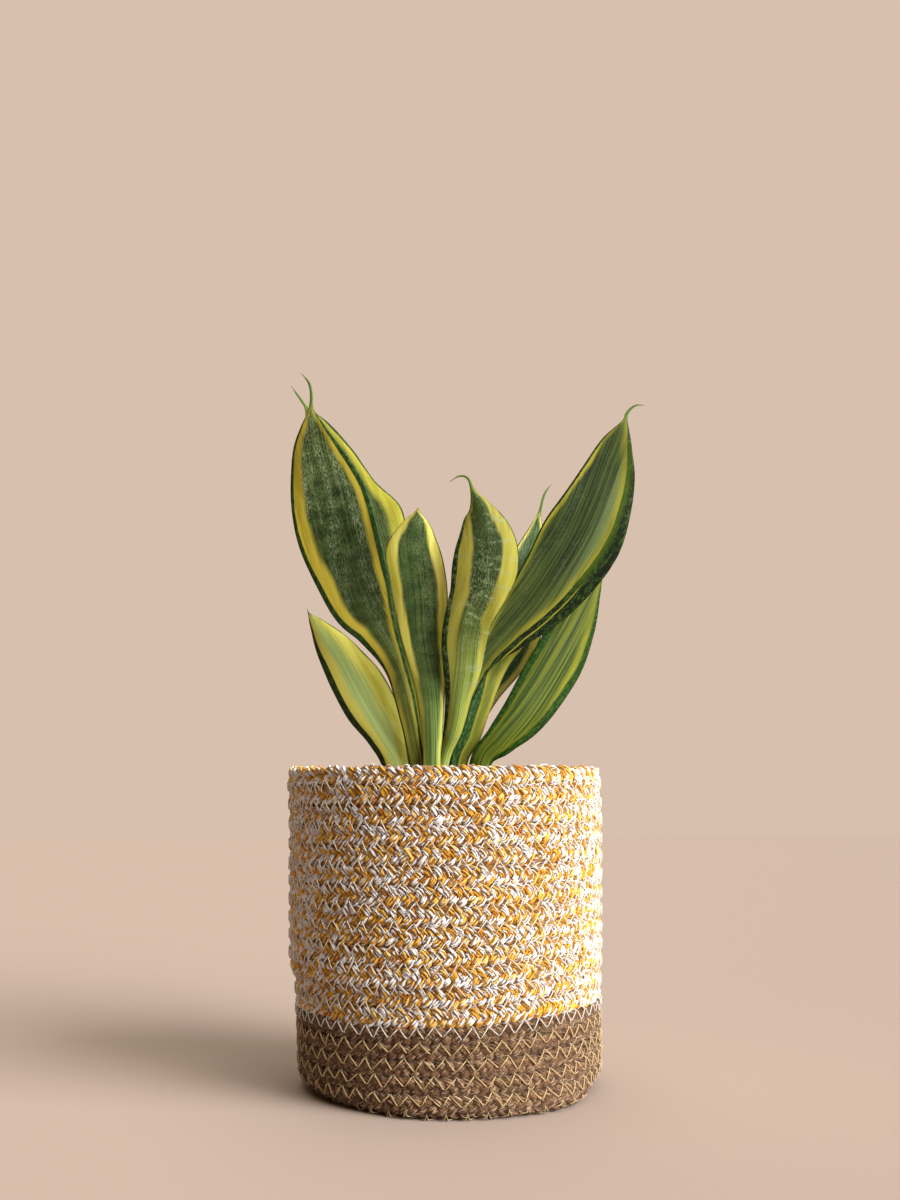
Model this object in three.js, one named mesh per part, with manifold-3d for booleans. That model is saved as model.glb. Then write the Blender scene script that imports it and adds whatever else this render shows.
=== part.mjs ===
// A golden hahnii snake plant in its plastic grow pot, standing in a sewn basket of braided rope.
// Millimetres, +Z up. The origin is the centre of the basket's flat underside.
// The plant's front is -Y.
import * as THREE from "three";
import { mergeVertices } from "three/addons/utils/BufferGeometryUtils.js";
import Module from "manifold-3d";

const wasm = await Module();
wasm.setup();

// Basket
const BASKET_HEIGHT = 152;
const COTTON_RADIUS = 75;
const JUTE_RADIUS = 73.4;
const WALL_THICKNESS = 6;
const FLOOR_THICKNESS = 6;
const FOOT_RADIUS = 69.5;
const COLOUR_CHANGE_Z = 39;
const JUTE_ROWS = 5;
const COTTON_ROWS = 13;
const ROW_RELIEF = 1;
const RIM_ROUNDING = 2.4;
const RIM_EDGE_DROP = 0.5;
const INNER_CORNER = 3;
const BASKET_SIDES = 48;

// A row's flat crest, as shares of the row's height.
const CREST_FROM = 0.28;
const CREST_TO = 0.72;

// The soft wall shifts to the left as it rises: a part of the way below the step, the rest over the step
// where it also widens, and a little more near the rim.
const STEP_LEFT = 2;
const SHIFT_BELOW_STEP = 0.4;
const SHIFT_FROM_Z = 12;
const STEP_FROM_Z = 49;
const STEP_TO_Z = 60;
const LEAN_LEFT = 0.9;
const LEAN_FROM_Z = 126;

// The foot swells out at the front, most a little to the right of it, and tucks in on both sides.
const SWELL = 6.8;
const SWELL_DEGREES = 17;
const SWELL_FULL_WITHIN = 20;
const SWELL_ENDS_AT = 56;
const SWELL_HEIGHT = 24;
const TUCK = 4;
const TUCK_FROM_DEGREES = 30;
const TUCK_TO_DEGREES = 70;
const TUCK_HEIGHT = 9;

// Grow pot
const POT_LIP_RADIUS = 63.5;
const POT_TOP_RADIUS = 61;
const POT_FOOT_RADIUS = 48;
const POT_WALL = 1.6;
const POT_TOP_Z = 130;
const POT_LIP_HEIGHT = 8;
const POT_X = -1.5;
const DRAIN_HOLES = 6;
const DRAIN_HOLE_RADIUS = 4;
const DRAIN_HOLE_REACH = 30;
const POT_SIDES = 48;

// Soil
const SOIL_EDGE_Z = 123;
const SOIL_CROWN = 2.5;
const CROWN_RADIUS = 26;
const SHOULDER_RADIUS = 44;
const SHOULDER_SHARE = 0.6;
const ROOT_END_Z = 106;
const HOLE_OVERRUN = 4;

// Pieces that touch keep this much air between them.
const FIT_GAP = 0.3;

// Leaf blades
const SECTION_POINTS = 7;
const STEPS_PER_ROW = 2;
const TANGENT_REACH = 0.25;
const FOOT_ROWS = 4;
const FOOT_CURL = 1.2;
const THICKENING = 0.4;
const EDGE_THICKNESS = 0.8;
const BLADE_THICKNESS = 2.6;
const BASE_THICKNESS = 3.4;
const SPINE_THICKNESS = 0.8;

// Each leaf stands in the soil at root [x, y]. Its face turns by facing degrees about Z from the front.
// curl bends both margins towards the front where it is positive and away from it where it is negative.
// A row is a station on the midrib, from the basket's rim up to the tip of the spine:
// [x, y, z, width left of the midrib, width right of it].
const LEAVES = {
  leaf_1: {
    root: [-14.5, -3.5],
    facing: -15,
    curl: 0.06,
    rows: [
      [-15.5, -5, 153, 3.6, 3.6],
      [-21, -10, 183, 4.9, 5],
      [-26, -13, 200, 5.8, 5.8],
      [-35, -15.5, 215.5, 9, 11.4],
      [-43, -17.5, 229.5, 14.3, 17.5],
      [-51, -19.5, 256.5, 19.6, 19.8],
      [-56, -20.5, 278, 19.2, 18.2],
      [-61.5, -21, 299, 13.2, 11],
      [-63.5, -21.5, 311, 6.6, 4.9],
      [-64.7, -21.5, 318.5, 1.3, 1.3],
      [-64.5, -21.5, 325.3, 0.7, 0.7],
      [-65.6, -22, 330.7, 0.6, 0.6],
      [-69.1, -22, 335, 0.4, 0.4],
    ],
  },
  leaf_2: {
    root: [-9, 6],
    facing: 15,
    curl: 0.16,
    rows: [
      [-13.5, 8, 153, 3.4, 3.8],
      [-18.5, 13, 177, 4, 4.5],
      [-24, 18.5, 200.5, 6.7, 6.7],
      [-30.5, 23, 221, 11.1, 11.6],
      [-36, 27.5, 241.5, 16.2, 15.8],
      [-40.5, 32, 262, 18.7, 18.7],
      [-45, 35.5, 278, 18.4, 21.3],
      [-51, 39, 293.5, 16.9, 13.7],
      [-59, 42, 311, 13.1, 10.1],
      [-67, 45, 325.5, 7.7, 6.9],
      [-73.9, 47, 337.6, 1.2, 1.2],
      [-77, 48, 342.5, 0.6, 0.6],
      [-82.2, 49, 350.1, 0.4, 0.4],
    ],
  },
  leaf_3: {
    root: [-8.5, -11],
    facing: -5,
    curl: -0.08,
    rows: [
      [-8, -10.5, 153, 4.9, 3.9],
      [-8, -11, 169, 5.6, 4.8],
      [-9, -12, 188, 7.4, 6.9],
      [-11.5, -13, 202, 8.4, 9.5],
      [-13.5, -14, 216.5, 10.4, 11.3],
      [-14, -15.5, 230, 12.9, 13.2],
      [-15.5, -17, 243, 13.4, 13.4],
      [-17, -18, 254.5, 13.2, 12],
      [-16.5, -19, 263.5, 7.4, 8.6],
      [-15.5, -20, 269.5, 2.9, 4.4],
      [-14.8, -20.5, 272.8, 0.8, 0.8],
    ],
  },
  leaf_4: {
    root: [-4.5, -5.2],
    facing: 6,
    curl: -0.2,
    rows: [
      [-3, -5, 153, 2.9, 2.9],
      [2, -10, 169, 5, 4.1],
      [4.5, -14.5, 183.5, 6.6, 6],
      [6.5, -18.5, 196.5, 9.5, 8.5],
      [7.5, -22, 210, 11.2, 10.4],
      [10, -24.5, 221.5, 12.1, 10.7],
      [14, -26.5, 231.5, 14, 12.4],
      [16.5, -28.5, 242.5, 15.3, 15.5],
      [17.5, -30, 254, 14.2, 14.4],
      [16.5, -31, 264.5, 10.6, 9.8],
      [15, -31.5, 271, 7.3, 4.4],
      [11.5, -31.5, 276.5, 2.1, 2.1],
      [10, -32, 280.2, 0.8, 0.8],
      [9, -32, 283.1, 0.6, 0.6],
      [7.1, -32, 284.8, 0.5, 0.5],
      [3.9, -32, 284.8, 0.4, 0.4],
      [0.2, -32, 282.3, 0.4, 0.4],
    ],
  },
  leaf_5: {
    root: [0, 1.5],
    facing: 12,
    curl: 0.12,
    rows: [
      [-1, 4.5, 153, 3.5, 3.5],
      [2, 3.5, 169.5, 3.6, 3.4],
      [4.8, 0.5, 179, 3.6, 3.4],
      [8.8, -2.5, 188, 4.6, 3.8],
      [17.9, -4, 202, 7.5, 3.6],
      [29.8, -5, 215.5, 11.7, 8.4],
      [42, -6.5, 230, 15.6, 14.5],
      [52.3, -8, 245, 17.4, 18.4],
      [62, -9.5, 261, 19, 20],
      [69.5, -11, 277.5, 15.6, 17.7],
      [75.5, -12, 294, 11, 13.2],
      [80, -13, 305.5, 7.5, 6.6],
      [82.8, -14, 315, 1.3, 1.4],
      [83.5, -14, 318, 0.8, 0.8],
      [85.5, -14, 320.8, 0.6, 0.6],
      [88.5, -14, 322.6, 0.5, 0.5],
      [92, -14, 322.4, 0.4, 0.4],
    ],
  },
  leaf_6: {
    root: [4.8, -7],
    facing: -8,
    curl: 0.16,
    rows: [
      [4.5, -2.5, 153, 3.9, 4.3],
      [10, -1, 167, 4.4, 5.4],
      [15.5, 3.5, 184, 4.2, 5.8],
      [24.5, 9, 202.5, 6.6, 5],
      [34, 15, 218.5, 10.1, 8.1],
      [43, 20.5, 232.5, 13.2, 12.2],
      [52, 26, 246.5, 13.2, 13.2],
      [59, 31.5, 261, 9.9, 9.5],
      [64.5, 36, 273, 1.5, 1.5],
      [66.1, 37.5, 277.3, 0.6, 0.6],
      [68.8, 39, 281.6, 0.4, 0.4],
    ],
  },
  leaf_7: {
    root: [5, 8.5],
    facing: -5,
    curl: 0.16,
    rows: [
      [4.5, 10.5, 153, 3.9, 3.9],
      [10, 15, 170, 4.4, 4.7],
      [16, 20, 188, 7.1, 8.8],
      [23, 26, 205.5, 11, 15.2],
      [29, 32, 224, 13.5, 18.5],
      [34.5, 38, 243, 12.2, 16],
      [39.5, 43.5, 259, 7.8, 10.8],
      [43.5, 47, 271, 4.9, 5.5],
      [46, 50, 281, 1.9, 1.8],
      [47.1, 51.5, 285.5, 0.8, 0.8],
      [49.5, 54, 294.8, 0.6, 0.6],
      [53.4, 56, 300.8, 0.4, 0.4],
    ],
  },
  leaf_8: {
    root: [15.6, -5],
    facing: 18,
    curl: -0.14,
    rows: [
      [15, -6.5, 153, 5.4, 5.4],
      [24, -6, 165.5, 6.8, 9.5],
      [34, -3.5, 177, 9.2, 13.2],
      [44, 0.5, 191.5, 11.2, 14.8],
      [53.5, 4.5, 207.5, 11.6, 15.2],
      [62.5, 8.5, 224, 10.6, 11.5],
      [69.5, 11.5, 238, 6.9, 5.6],
      [75, 14, 249, 1.5, 1.2],
      [75.8, 15, 253.2, 0.6, 0.6],
      [76.4, 16, 258.4, 0.4, 0.4],
    ],
  },
  leaf_9: {
    root: [-20, 3],
    facing: -6,
    curl: -0.14,
    rows: [
      [-26.5, 1, 153, 6.4, 7.2],
      [-34, 1.5, 166, 6.2, 13.4],
      [-41.5, 2.5, 179, 9, 16.2],
      [-48.5, 3.5, 191.5, 9, 16.1],
      [-54.5, 4.5, 202.5, 8, 12.9],
      [-60.5, 5.5, 212, 5.8, 9.7],
      [-65.5, 6, 220.5, 2.7, 5.1],
      [-68.7, 6.5, 226.8, 0.8, 0.8],
      [-69.5, 6.5, 228.9, 0.4, 0.4],
    ],
  },
};

const AMBER_COTTON = { color: 0xe0b45a, roughness: 0.9, metalness: 0 };
const BROWN_JUTE = { color: 0xa5825a, roughness: 0.95, metalness: 0 };
const BROWN_PLASTIC = { color: 0x3a322c, roughness: 0.6, metalness: 0 };
const DARK_SOIL = { color: 0x3b2a1e, roughness: 1, metalness: 0 };
const LEAF_GREEN = { color: 0x7c8f3a, roughness: 0.45, metalness: 0 };

// A smooth rise from 0 at low to 1 at high.
function rise(low, high, value) {
  const t = Math.min(1, Math.max(0, (value - low) / (high - low)));
  return t * t * (3 - 2 * t);
}

// How far the basket wall stands to the side at a height.
function sway(z) {
  const below = SHIFT_BELOW_STEP * rise(SHIFT_FROM_Z, STEP_FROM_Z, z);
  const step = (1 - SHIFT_BELOW_STEP) * rise(STEP_FROM_Z, STEP_TO_Z, z);
  return -STEP_LEFT * (below + step) - LEAN_LEFT * rise(LEAN_FROM_Z, BASKET_HEIGHT, z);
}

// How far the foot stands out from its round plan, at degrees from the front towards the right.
function footSwell(degrees, z) {
  const front = 1 - rise(SWELL_FULL_WITHIN, SWELL_ENDS_AT, Math.abs(degrees - SWELL_DEGREES));
  const side = rise(TUCK_FROM_DEGREES, TUCK_TO_DEGREES, Math.abs(degrees));
  const swell = SWELL * front * (1 - rise(0, SWELL_HEIGHT, z));
  const tuck = TUCK * side * (1 - rise(110, 180, Math.abs(degrees))) * (1 - rise(0, TUCK_HEIGHT, z));
  return swell - tuck;
}

// The outer radius over the crest of a braided row at a height.
function crestRadius(z) {
  return JUTE_RADIUS + (COTTON_RADIUS - JUTE_RADIUS) * rise(STEP_FROM_Z, STEP_TO_Z, z);
}

// Turns a closed profile of [radius, z] points about Z.
function turned(profile, sides) {
  const points = profile.map(([r, z]) => new THREE.Vector2(r, z));
  const geometry = new THREE.LatheGeometry(points, sides);
  geometry.rotateX(Math.PI / 2);
  return geometry;
}

// Moves each point of the basket's foot in or out by the swell there. The middle of the floor stays.
function swollen(geometry) {
  const position = geometry.getAttribute("position");
  for (let i = 0; i < position.count; i++) {
    const [x, y, z] = [position.getX(i), position.getY(i), position.getZ(i)];
    const radius = Math.hypot(x, y);
    const degrees = THREE.MathUtils.radToDeg(Math.atan2(x, -y));
    const share = rise(0.5, 1, radius / (FOOT_RADIUS - TUCK));
    const scale = radius > 0 ? 1 + (share * footSwell(degrees, z)) / radius : 1;
    position.setXY(i, x * scale, y * scale);
  }
  return geometry;
}

// Moves each ring of a basket wall sideways by the wall's sway.
function swayed(geometry) {
  const position = geometry.getAttribute("position");
  for (let i = 0; i < position.count; i++) {
    position.setX(i, position.getX(i) + sway(position.getZ(i)));
  }
  return geometry;
}

// The outside of a stack of rows, from the bottom up: a groove at each seam and a flat crest between.
function rowRidges(bottom, top, rows) {
  const pitch = (top - bottom) / rows;
  const points = [];
  for (let row = 0; row < rows; row++) {
    const z = bottom + row * pitch;
    if (row > 0) points.push([crestRadius(z) - ROW_RELIEF, z]);
    points.push([crestRadius(z), z + CREST_FROM * pitch]);
    points.push([crestRadius(z), z + CREST_TO * pitch]);
  }
  return points;
}

function juteBase() {
  const top = COLOUR_CHANGE_Z;
  const inner = JUTE_RADIUS - WALL_THICKNESS;
  const outside = rowRidges(0, top, JUTE_ROWS);
  const profile = [
    [0, 0],
    [FOOT_RADIUS, 0],
    ...outside,
    [crestRadius(top) - ROW_RELIEF, top],
    [crestRadius(top) - WALL_THICKNESS, top],
    [inner, SWELL_HEIGHT],
    [inner, FLOOR_THICKNESS + INNER_CORNER],
    [inner - INNER_CORNER, FLOOR_THICKNESS],
    [0, FLOOR_THICKNESS],
  ];
  return swayed(swollen(turned(profile, BASKET_SIDES)));
}

function cottonWall() {
  const bottom = COLOUR_CHANGE_Z + FIT_GAP;
  const top = BASKET_HEIGHT;
  const inner = COTTON_RADIUS - WALL_THICKNESS;
  const outside = rowRidges(bottom, top - RIM_EDGE_DROP, COTTON_ROWS);
  const profile = [
    [crestRadius(bottom) - ROW_RELIEF, bottom],
    ...outside,
    [COTTON_RADIUS - RIM_ROUNDING / 2, top - RIM_EDGE_DROP],
    [COTTON_RADIUS - RIM_ROUNDING, top],
    [inner + RIM_ROUNDING, top],
    [inner, top - RIM_ROUNDING],
    [inner, STEP_TO_Z],
    [crestRadius(bottom) - WALL_THICKNESS, bottom],
    [crestRadius(bottom) - ROW_RELIEF, bottom],
  ];
  return swayed(turned(profile, BASKET_SIDES));
}

// A three.js geometry as a solid for joining and cutting.
function solidOf(geometry) {
  const bare = geometry.clone();
  bare.deleteAttribute("normal");
  bare.deleteAttribute("uv");
  const merged = mergeVertices(bare, 1e-3);
  const mesh = new wasm.Mesh({
    numProp: 3,
    vertProperties: new Float32Array(merged.getAttribute("position").array),
    triVerts: new Uint32Array(merged.index.array),
  });
  return new wasm.Manifold(mesh);
}

// A solid as a three.js geometry.
function geometryOf(solid) {
  const mesh = solid.getMesh();
  const geometry = new THREE.BufferGeometry();
  geometry.setAttribute("position", new THREE.BufferAttribute(mesh.vertProperties, 3));
  geometry.setIndex(new THREE.BufferAttribute(mesh.triVerts, 1));
  geometry.computeVertexNormals();
  return geometry;
}

// The pot's inner radius at a height above its floor.
function potInside(z) {
  const foot = FLOOR_THICKNESS + FIT_GAP;
  const share = (z - foot) / (POT_TOP_Z - foot);
  return POT_FOOT_RADIUS + (POT_TOP_RADIUS - POT_FOOT_RADIUS) * share - POT_WALL;
}

function growPot() {
  const foot = FLOOR_THICKNESS + FIT_GAP;
  const lip = POT_TOP_Z - POT_LIP_HEIGHT;
  const floor = foot + POT_WALL;
  const shell = turned(
    [
      [0, foot],
      [POT_FOOT_RADIUS, foot],
      [potInside(lip) + POT_WALL, lip],
      [POT_LIP_RADIUS, lip],
      [POT_LIP_RADIUS, POT_TOP_Z],
      [potInside(POT_TOP_Z), POT_TOP_Z],
      [potInside(floor), floor],
      [0, floor],
    ],
    POT_SIDES,
  );
  let pot = solidOf(shell);
  for (let k = 0; k < DRAIN_HOLES; k++) {
    const angle = (k * 2 * Math.PI) / DRAIN_HOLES;
    const hole = new THREE.CylinderGeometry(DRAIN_HOLE_RADIUS, DRAIN_HOLE_RADIUS, 4 * POT_WALL, 12);
    hole.rotateX(Math.PI / 2);
    hole.translate(DRAIN_HOLE_REACH * Math.cos(angle), DRAIN_HOLE_REACH * Math.sin(angle), foot);
    pot = pot.subtract(solidOf(hole));
  }
  return geometryOf(pot).translate(POT_X, 0, 0);
}

// A leaf's stations: two in the soil and the listed rows above it.
function stations(leaf) {
  const [x, y] = leaf.root;
  const [, , , left, right] = leaf.rows[0];
  return [[x, y, ROOT_END_Z, left, right], [x, y, SOIL_EDGE_Z + SOIL_CROWN, left, right], ...leaf.rows];
}

// A value on the smooth curve through four neighbours, t running from the second to the third.
function smooth(a, b, c, d, t) {
  const slopes = (c - a) * t + (2 * a - 5 * b + 4 * c - d) * t * t + (3 * b - a - 3 * c + d) * t ** 3;
  return b + slopes / 2;
}

// The row at a place along the leaf, counted in stations.
function rowAt(rows, place) {
  const last = rows.length - 1;
  const i = Math.min(Math.floor(place), last - 1);
  const [a, b, c, d] = [i - 1, i, i + 1, i + 2].map((k) => rows[Math.min(last, Math.max(0, k))]);
  return b.map((_, k) => smooth(a[k], b[k], c[k], d[k], place - i));
}

// One closed section of a leaf, as points in order round it. grow widens it on every side.
function leafSection(leaf, rows, place, grow) {
  const last = rows.length - 1;
  const [x, y, z, left, right] = rowAt(rows, place);
  const [fore, aft] = place < 1 ? [1, 0] : [Math.min(last, place + TANGENT_REACH), place - TANGENT_REACH];
  const [ahead, behind] = [rowAt(rows, fore), rowAt(rows, aft)];
  const along = new THREE.Vector3(
    ahead[0] - behind[0],
    ahead[1] - behind[1],
    ahead[2] - behind[2],
  ).normalize();
  const turn = THREE.MathUtils.degToRad(leaf.facing);
  const front = new THREE.Vector3(Math.sin(turn), -Math.cos(turn), 0);
  const side = new THREE.Vector3().crossVectors(along, front).normalize();
  const out = new THREE.Vector3().crossVectors(side, along);
  const low = 1 - Math.min(1, Math.max(0, (place - 1) / FOOT_ROWS));
  const width = Math.min(left, right);
  const full = BLADE_THICKNESS + (BASE_THICKNESS - BLADE_THICKNESS) * low;
  const middle = Math.min(full, SPINE_THICKNESS + THICKENING * width);
  const curl = leaf.curl * (1 + FOOT_CURL * low);
  const faces = [[], []];
  for (let k = 0; k < SECTION_POINTS; k++) {
    const v = (2 * k) / (SECTION_POINTS - 1) - 1;
    const half = v < 0 ? left : right;
    const across = v * (half + grow);
    const bend = curl * half * v * v;
    const thick = EDGE_THICKNESS + (middle - EDGE_THICKNESS) * (1 - v * v) + 2 * grow;
    for (const [face, sign] of [[0, 1], [1, -1]]) {
      const point = new THREE.Vector3(x, y, z);
      point.addScaledVector(side, across);
      point.addScaledVector(out, bend + (sign * thick) / 2);
      faces[face].push(point);
    }
  }
  return [...faces[0], ...faces[1].reverse()];
}

// Joins sections of equal count into one closed body. Both faces are split along the same diagonals.
function skinned(sections) {
  const count = sections[0].length;
  const half = count / 2;
  const position = [];
  for (const section of sections) {
    for (const p of section) position.push(p.x, p.y, p.z);
  }
  const index = [];
  for (let i = 0; i + 1 < sections.length; i++) {
    for (let j = 0; j < count; j++) {
      const a = i * count + j;
      const b = i * count + ((j + 1) % count);
      const [c, d] = [a + count, b + count];
      if (j < half) index.push(a, b, d, a, d, c);
      else index.push(a, b, c, b, d, c);
    }
  }
  const top = (sections.length - 1) * count;
  for (let j = 0; j + 1 < half; j++) {
    const [a, b, c, d] = [j, j + 1, count - 1 - j, count - 2 - j];
    index.push(a, d, b, a, c, d);
    index.push(top + a, top + b, top + d, top + a, top + d, top + c);
  }
  const geometry = new THREE.BufferGeometry();
  geometry.setAttribute("position", new THREE.Float32BufferAttribute(position, 3));
  geometry.setIndex(index);
  geometry.computeVertexNormals();
  return geometry;
}

function leafBlade(leaf) {
  const rows = stations(leaf);
  const sections = [leafSection(leaf, rows, 0, 0)];
  const steps = (rows.length - 2) * STEPS_PER_ROW;
  for (let i = 0; i <= steps; i++) {
    sections.push(leafSection(leaf, rows, 1 + i / STEPS_PER_ROW, 0));
  }
  return skinned(sections);
}

// The plain upright hole that a leaf's foot stands in.
function leafHole(leaf) {
  const [x, y] = leaf.root;
  const [, , , left, right] = leaf.rows[0];
  const upright = [ROOT_END_Z - FIT_GAP, SOIL_EDGE_Z - HOLE_OVERRUN, SOIL_EDGE_Z + 2 * SOIL_CROWN + HOLE_OVERRUN].map((z) => [
    x,
    y,
    z,
    left,
    right,
  ]);
  return skinned([0, 2].map((place) => leafSection(leaf, upright, place, FIT_GAP)));
}

function soil() {
  const floor = FLOOR_THICKNESS + FIT_GAP + POT_WALL;
  const bottom = floor + FIT_GAP;
  const crown = SOIL_EDGE_Z + SOIL_CROWN;
  const body = turned(
    [
      [0, bottom],
      [potInside(bottom) - FIT_GAP, bottom],
      [potInside(SOIL_EDGE_Z) - FIT_GAP, SOIL_EDGE_Z],
      [SHOULDER_RADIUS, SOIL_EDGE_Z + SHOULDER_SHARE * SOIL_CROWN],
      [CROWN_RADIUS, crown],
      [0, crown],
    ],
    POT_SIDES,
  ).translate(POT_X, 0, 0);
  let ground = solidOf(body);
  for (const leaf of Object.values(LEAVES)) {
    ground = ground.subtract(solidOf(leafHole(leaf)));
  }
  return geometryOf(ground);
}

// One named piece with its own material.
function piece(name, geometry, look) {
  const mesh = new THREE.Mesh(geometry, new THREE.MeshStandardMaterial(look));
  mesh.name = name;
  return mesh;
}

const plant = new THREE.Group();
const basket = new THREE.Group();
basket.add(piece("jute_base", juteBase(), BROWN_JUTE));
basket.add(piece("cotton_wall", cottonWall(), AMBER_COTTON));
plant.add(basket);
plant.add(piece("grow_pot", growPot(), BROWN_PLASTIC));
plant.add(piece("soil", soil(), DARK_SOIL));
for (const [name, leaf] of Object.entries(LEAVES)) {
  plant.add(piece(name, leafBlade(leaf), LEAF_GREEN));
}

export default plant;
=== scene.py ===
"""Looks of a golden hahnii snake plant in its grow pot, which stands in a sewn basket of braided rope.

Lengths are in millimetres up to the point where a mesh is made, and Blender's objects are in metres.
+Z is up, the front is -Y, and the origin is the centre of the basket's flat underside.
"""

import logging
import math
from dataclasses import dataclass, field
from enum import Enum
from typing import Callable, Sequence

import bpy
import numpy as np
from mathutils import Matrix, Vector, noise


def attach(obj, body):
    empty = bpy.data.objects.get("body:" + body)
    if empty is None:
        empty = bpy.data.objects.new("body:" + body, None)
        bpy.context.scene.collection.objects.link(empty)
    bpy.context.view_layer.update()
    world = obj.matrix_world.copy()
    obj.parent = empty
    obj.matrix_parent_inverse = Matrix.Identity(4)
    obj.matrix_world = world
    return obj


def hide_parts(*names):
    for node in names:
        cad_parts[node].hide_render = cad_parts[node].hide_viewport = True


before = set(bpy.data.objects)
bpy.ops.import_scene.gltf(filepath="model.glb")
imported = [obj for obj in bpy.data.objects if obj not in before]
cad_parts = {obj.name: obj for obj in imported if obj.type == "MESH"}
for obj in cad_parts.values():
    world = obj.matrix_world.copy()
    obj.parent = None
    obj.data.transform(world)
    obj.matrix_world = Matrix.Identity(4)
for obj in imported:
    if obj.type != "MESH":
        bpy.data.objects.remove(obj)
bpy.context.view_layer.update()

LOG = logging.getLogger("snake_plant")
MM = 0.001
BODY = "root"
GRAIN_RANGE = 90.0

Colour = tuple[float, float, float, float]
Span = tuple[float, float]


class Slot(Enum):
    """The material slots."""

    COTTON = "cotton_braid"
    JUTE = "jute_braid"
    PLASTIC = "pot_plastic"
    SOIL = "potting_soil"
    LEAF = "leaf"


def srgb(red: int, green: int, blue: int) -> Colour:
    """A screen colour as the linear colour that a shader takes.

    Args:
        red: 0 to 255.
        green: 0 to 255.
        blue: 0 to 255.

    Returns:
        Linear red, green, blue and an alpha of 1.
    """
    shares = [level / 255 for level in (red, green, blue)]
    linear = [s / 12.92 if s < 0.04045 else ((s + 0.055) / 1.055) ** 2.4 for s in shares]
    return (*linear, 1.0)


def rise(low: float, high: float, value: float | np.ndarray) -> np.ndarray:
    """A smooth rise from 0 at low to 1 at high.

    Args:
        low: Where the rise starts.
        high: Where it ends.
        value: A number or an array of them.

    Returns:
        The height of the rise at each value.
    """
    t = np.clip((np.asarray(value, dtype=float) - low) / (high - low), 0.0, 1.0)
    return t * t * (3 - 2 * t)


def unit(vectors: np.ndarray) -> np.ndarray:
    """The vectors at length one."""
    return vectors / np.maximum(np.linalg.norm(vectors, axis=-1, keepdims=True), 1e-9)


def travelled(points: np.ndarray) -> np.ndarray:
    """The length of a line from its start to each of its points."""
    return np.concatenate([[0], np.cumsum(np.linalg.norm(np.diff(points, axis=0), axis=1))])


def circle(sides: int, start: float = 0.0) -> np.ndarray:
    """Angles that are spread evenly over one turn."""
    return start + np.arange(sides) * 2 * math.pi / sides


def stacked(*values: np.ndarray | float) -> np.ndarray:
    """Values side by side along a new last axis, each spread to the size of all of them."""
    return np.stack(np.broadcast_arrays(*values), axis=-1)


# Meshes


@dataclass
class Shape:
    """A mesh in the making. A face with three corners has -1 as its fourth."""

    points: np.ndarray
    faces: np.ndarray
    at_points: dict[str, np.ndarray] = field(default_factory=dict)
    at_faces: dict[str, np.ndarray] = field(default_factory=dict)


def joined(shapes: Sequence[Shape]) -> Shape:
    """Puts several shapes with the same named values into one.

    Args:
        shapes: The shapes, in order.

    Returns:
        One shape that holds them all.
    """
    starts = np.cumsum([0] + [len(s.points) for s in shapes[:-1]])
    faces = [np.where(s.faces < 0, -1, s.faces + start) for s, start in zip(shapes, starts)]
    return Shape(
        np.concatenate([s.points for s in shapes]),
        np.concatenate(faces),
        {k: np.concatenate([s.at_points[k] for s in shapes]) for k in shapes[0].at_points},
        {k: np.concatenate([s.at_faces[k] for s in shapes]) for k in shapes[0].at_faces},
    )


def skin_faces(here: np.ndarray) -> np.ndarray:
    """The four-cornered faces between closed rings of numbered points."""
    beside = np.roll(here, -1, axis=1)
    return np.stack([here[:-1], beside[:-1], beside[1:], here[1:]], axis=-1).reshape(-1, 4)


def tube(rings: np.ndarray) -> Shape:
    """A closed skin over rings of points, which run counter-clockwise about the way they follow each other.

    Args:
        rings: An array of ring, point and coordinate.

    Returns:
        The skin, whose ring faces come before its end faces.
    """
    count, sides = rings.shape[:2]
    here = np.arange(count * sides).reshape(count, sides)
    beside = np.roll(here, -1, axis=1)
    faces = [skin_faces(here)]
    for number, edge in enumerate(((beside[0], here[0]), (here[-1], beside[-1]))):
        hub = np.full(sides, count * sides + number)
        faces.append(np.stack([*edge, hub, np.full(sides, -1)], axis=-1))
    return Shape(with_ends(rings), np.concatenate(faces))


def with_ends(values: np.ndarray) -> np.ndarray:
    """A tube's ring values as a list, with those of its two end points added."""
    ends = np.stack([values[0].mean(axis=0), values[-1].mean(axis=0)])
    return np.concatenate([values.reshape(-1, values.shape[-1]), ends])


def swept(centres: np.ndarray, outward: np.ndarray, section: np.ndarray) -> np.ndarray:
    """Rings of a section that is carried along a line.

    Args:
        centres: The line's points.
        outward: At each point, the way that the section's second axis leans.
        section: Points as (across, outward), either one list or one for each centre.

    Returns:
        An array of ring, point and coordinate.
    """
    along = unit(np.gradient(centres, axis=0))
    wide = unit(np.cross(outward, along))
    thin = np.cross(along, wide)
    section = np.broadcast_to(section, (len(centres), *section.shape[-2:]))
    aside = wide[:, None] * section[..., 0:1] + thin[:, None] * section[..., 1:2]
    return centres[:, None] + aside


def turned(profile: Sequence[Span], sides: int) -> Shape:
    """Turns a profile of (radius, height) about Z, from its inner start to its inner end.

    Args:
        profile: The outline, with the solid on its left.
        sides: How many steps make a turn.

    Returns:
        The turned skin, closed at the axis.
    """
    outline = np.array(profile, dtype=float)
    angle = circle(sides)
    around = stacked(np.cos(angle), np.sin(angle), 0.0)
    rings = around[None] * outline[:, 0, None, None]
    rings[..., 2] = outline[:, 1, None]
    return tube(rings)


def placed(name: str, data: bpy.types.ID) -> bpy.types.Object:
    """Puts a new object into the scene.

    Args:
        name: Its name.
        data: What it holds: a mesh, a lamp or a camera.

    Returns:
        The object.
    """
    thing = bpy.data.objects.new(name, data)
    bpy.context.scene.collection.objects.link(thing)
    return thing


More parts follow.
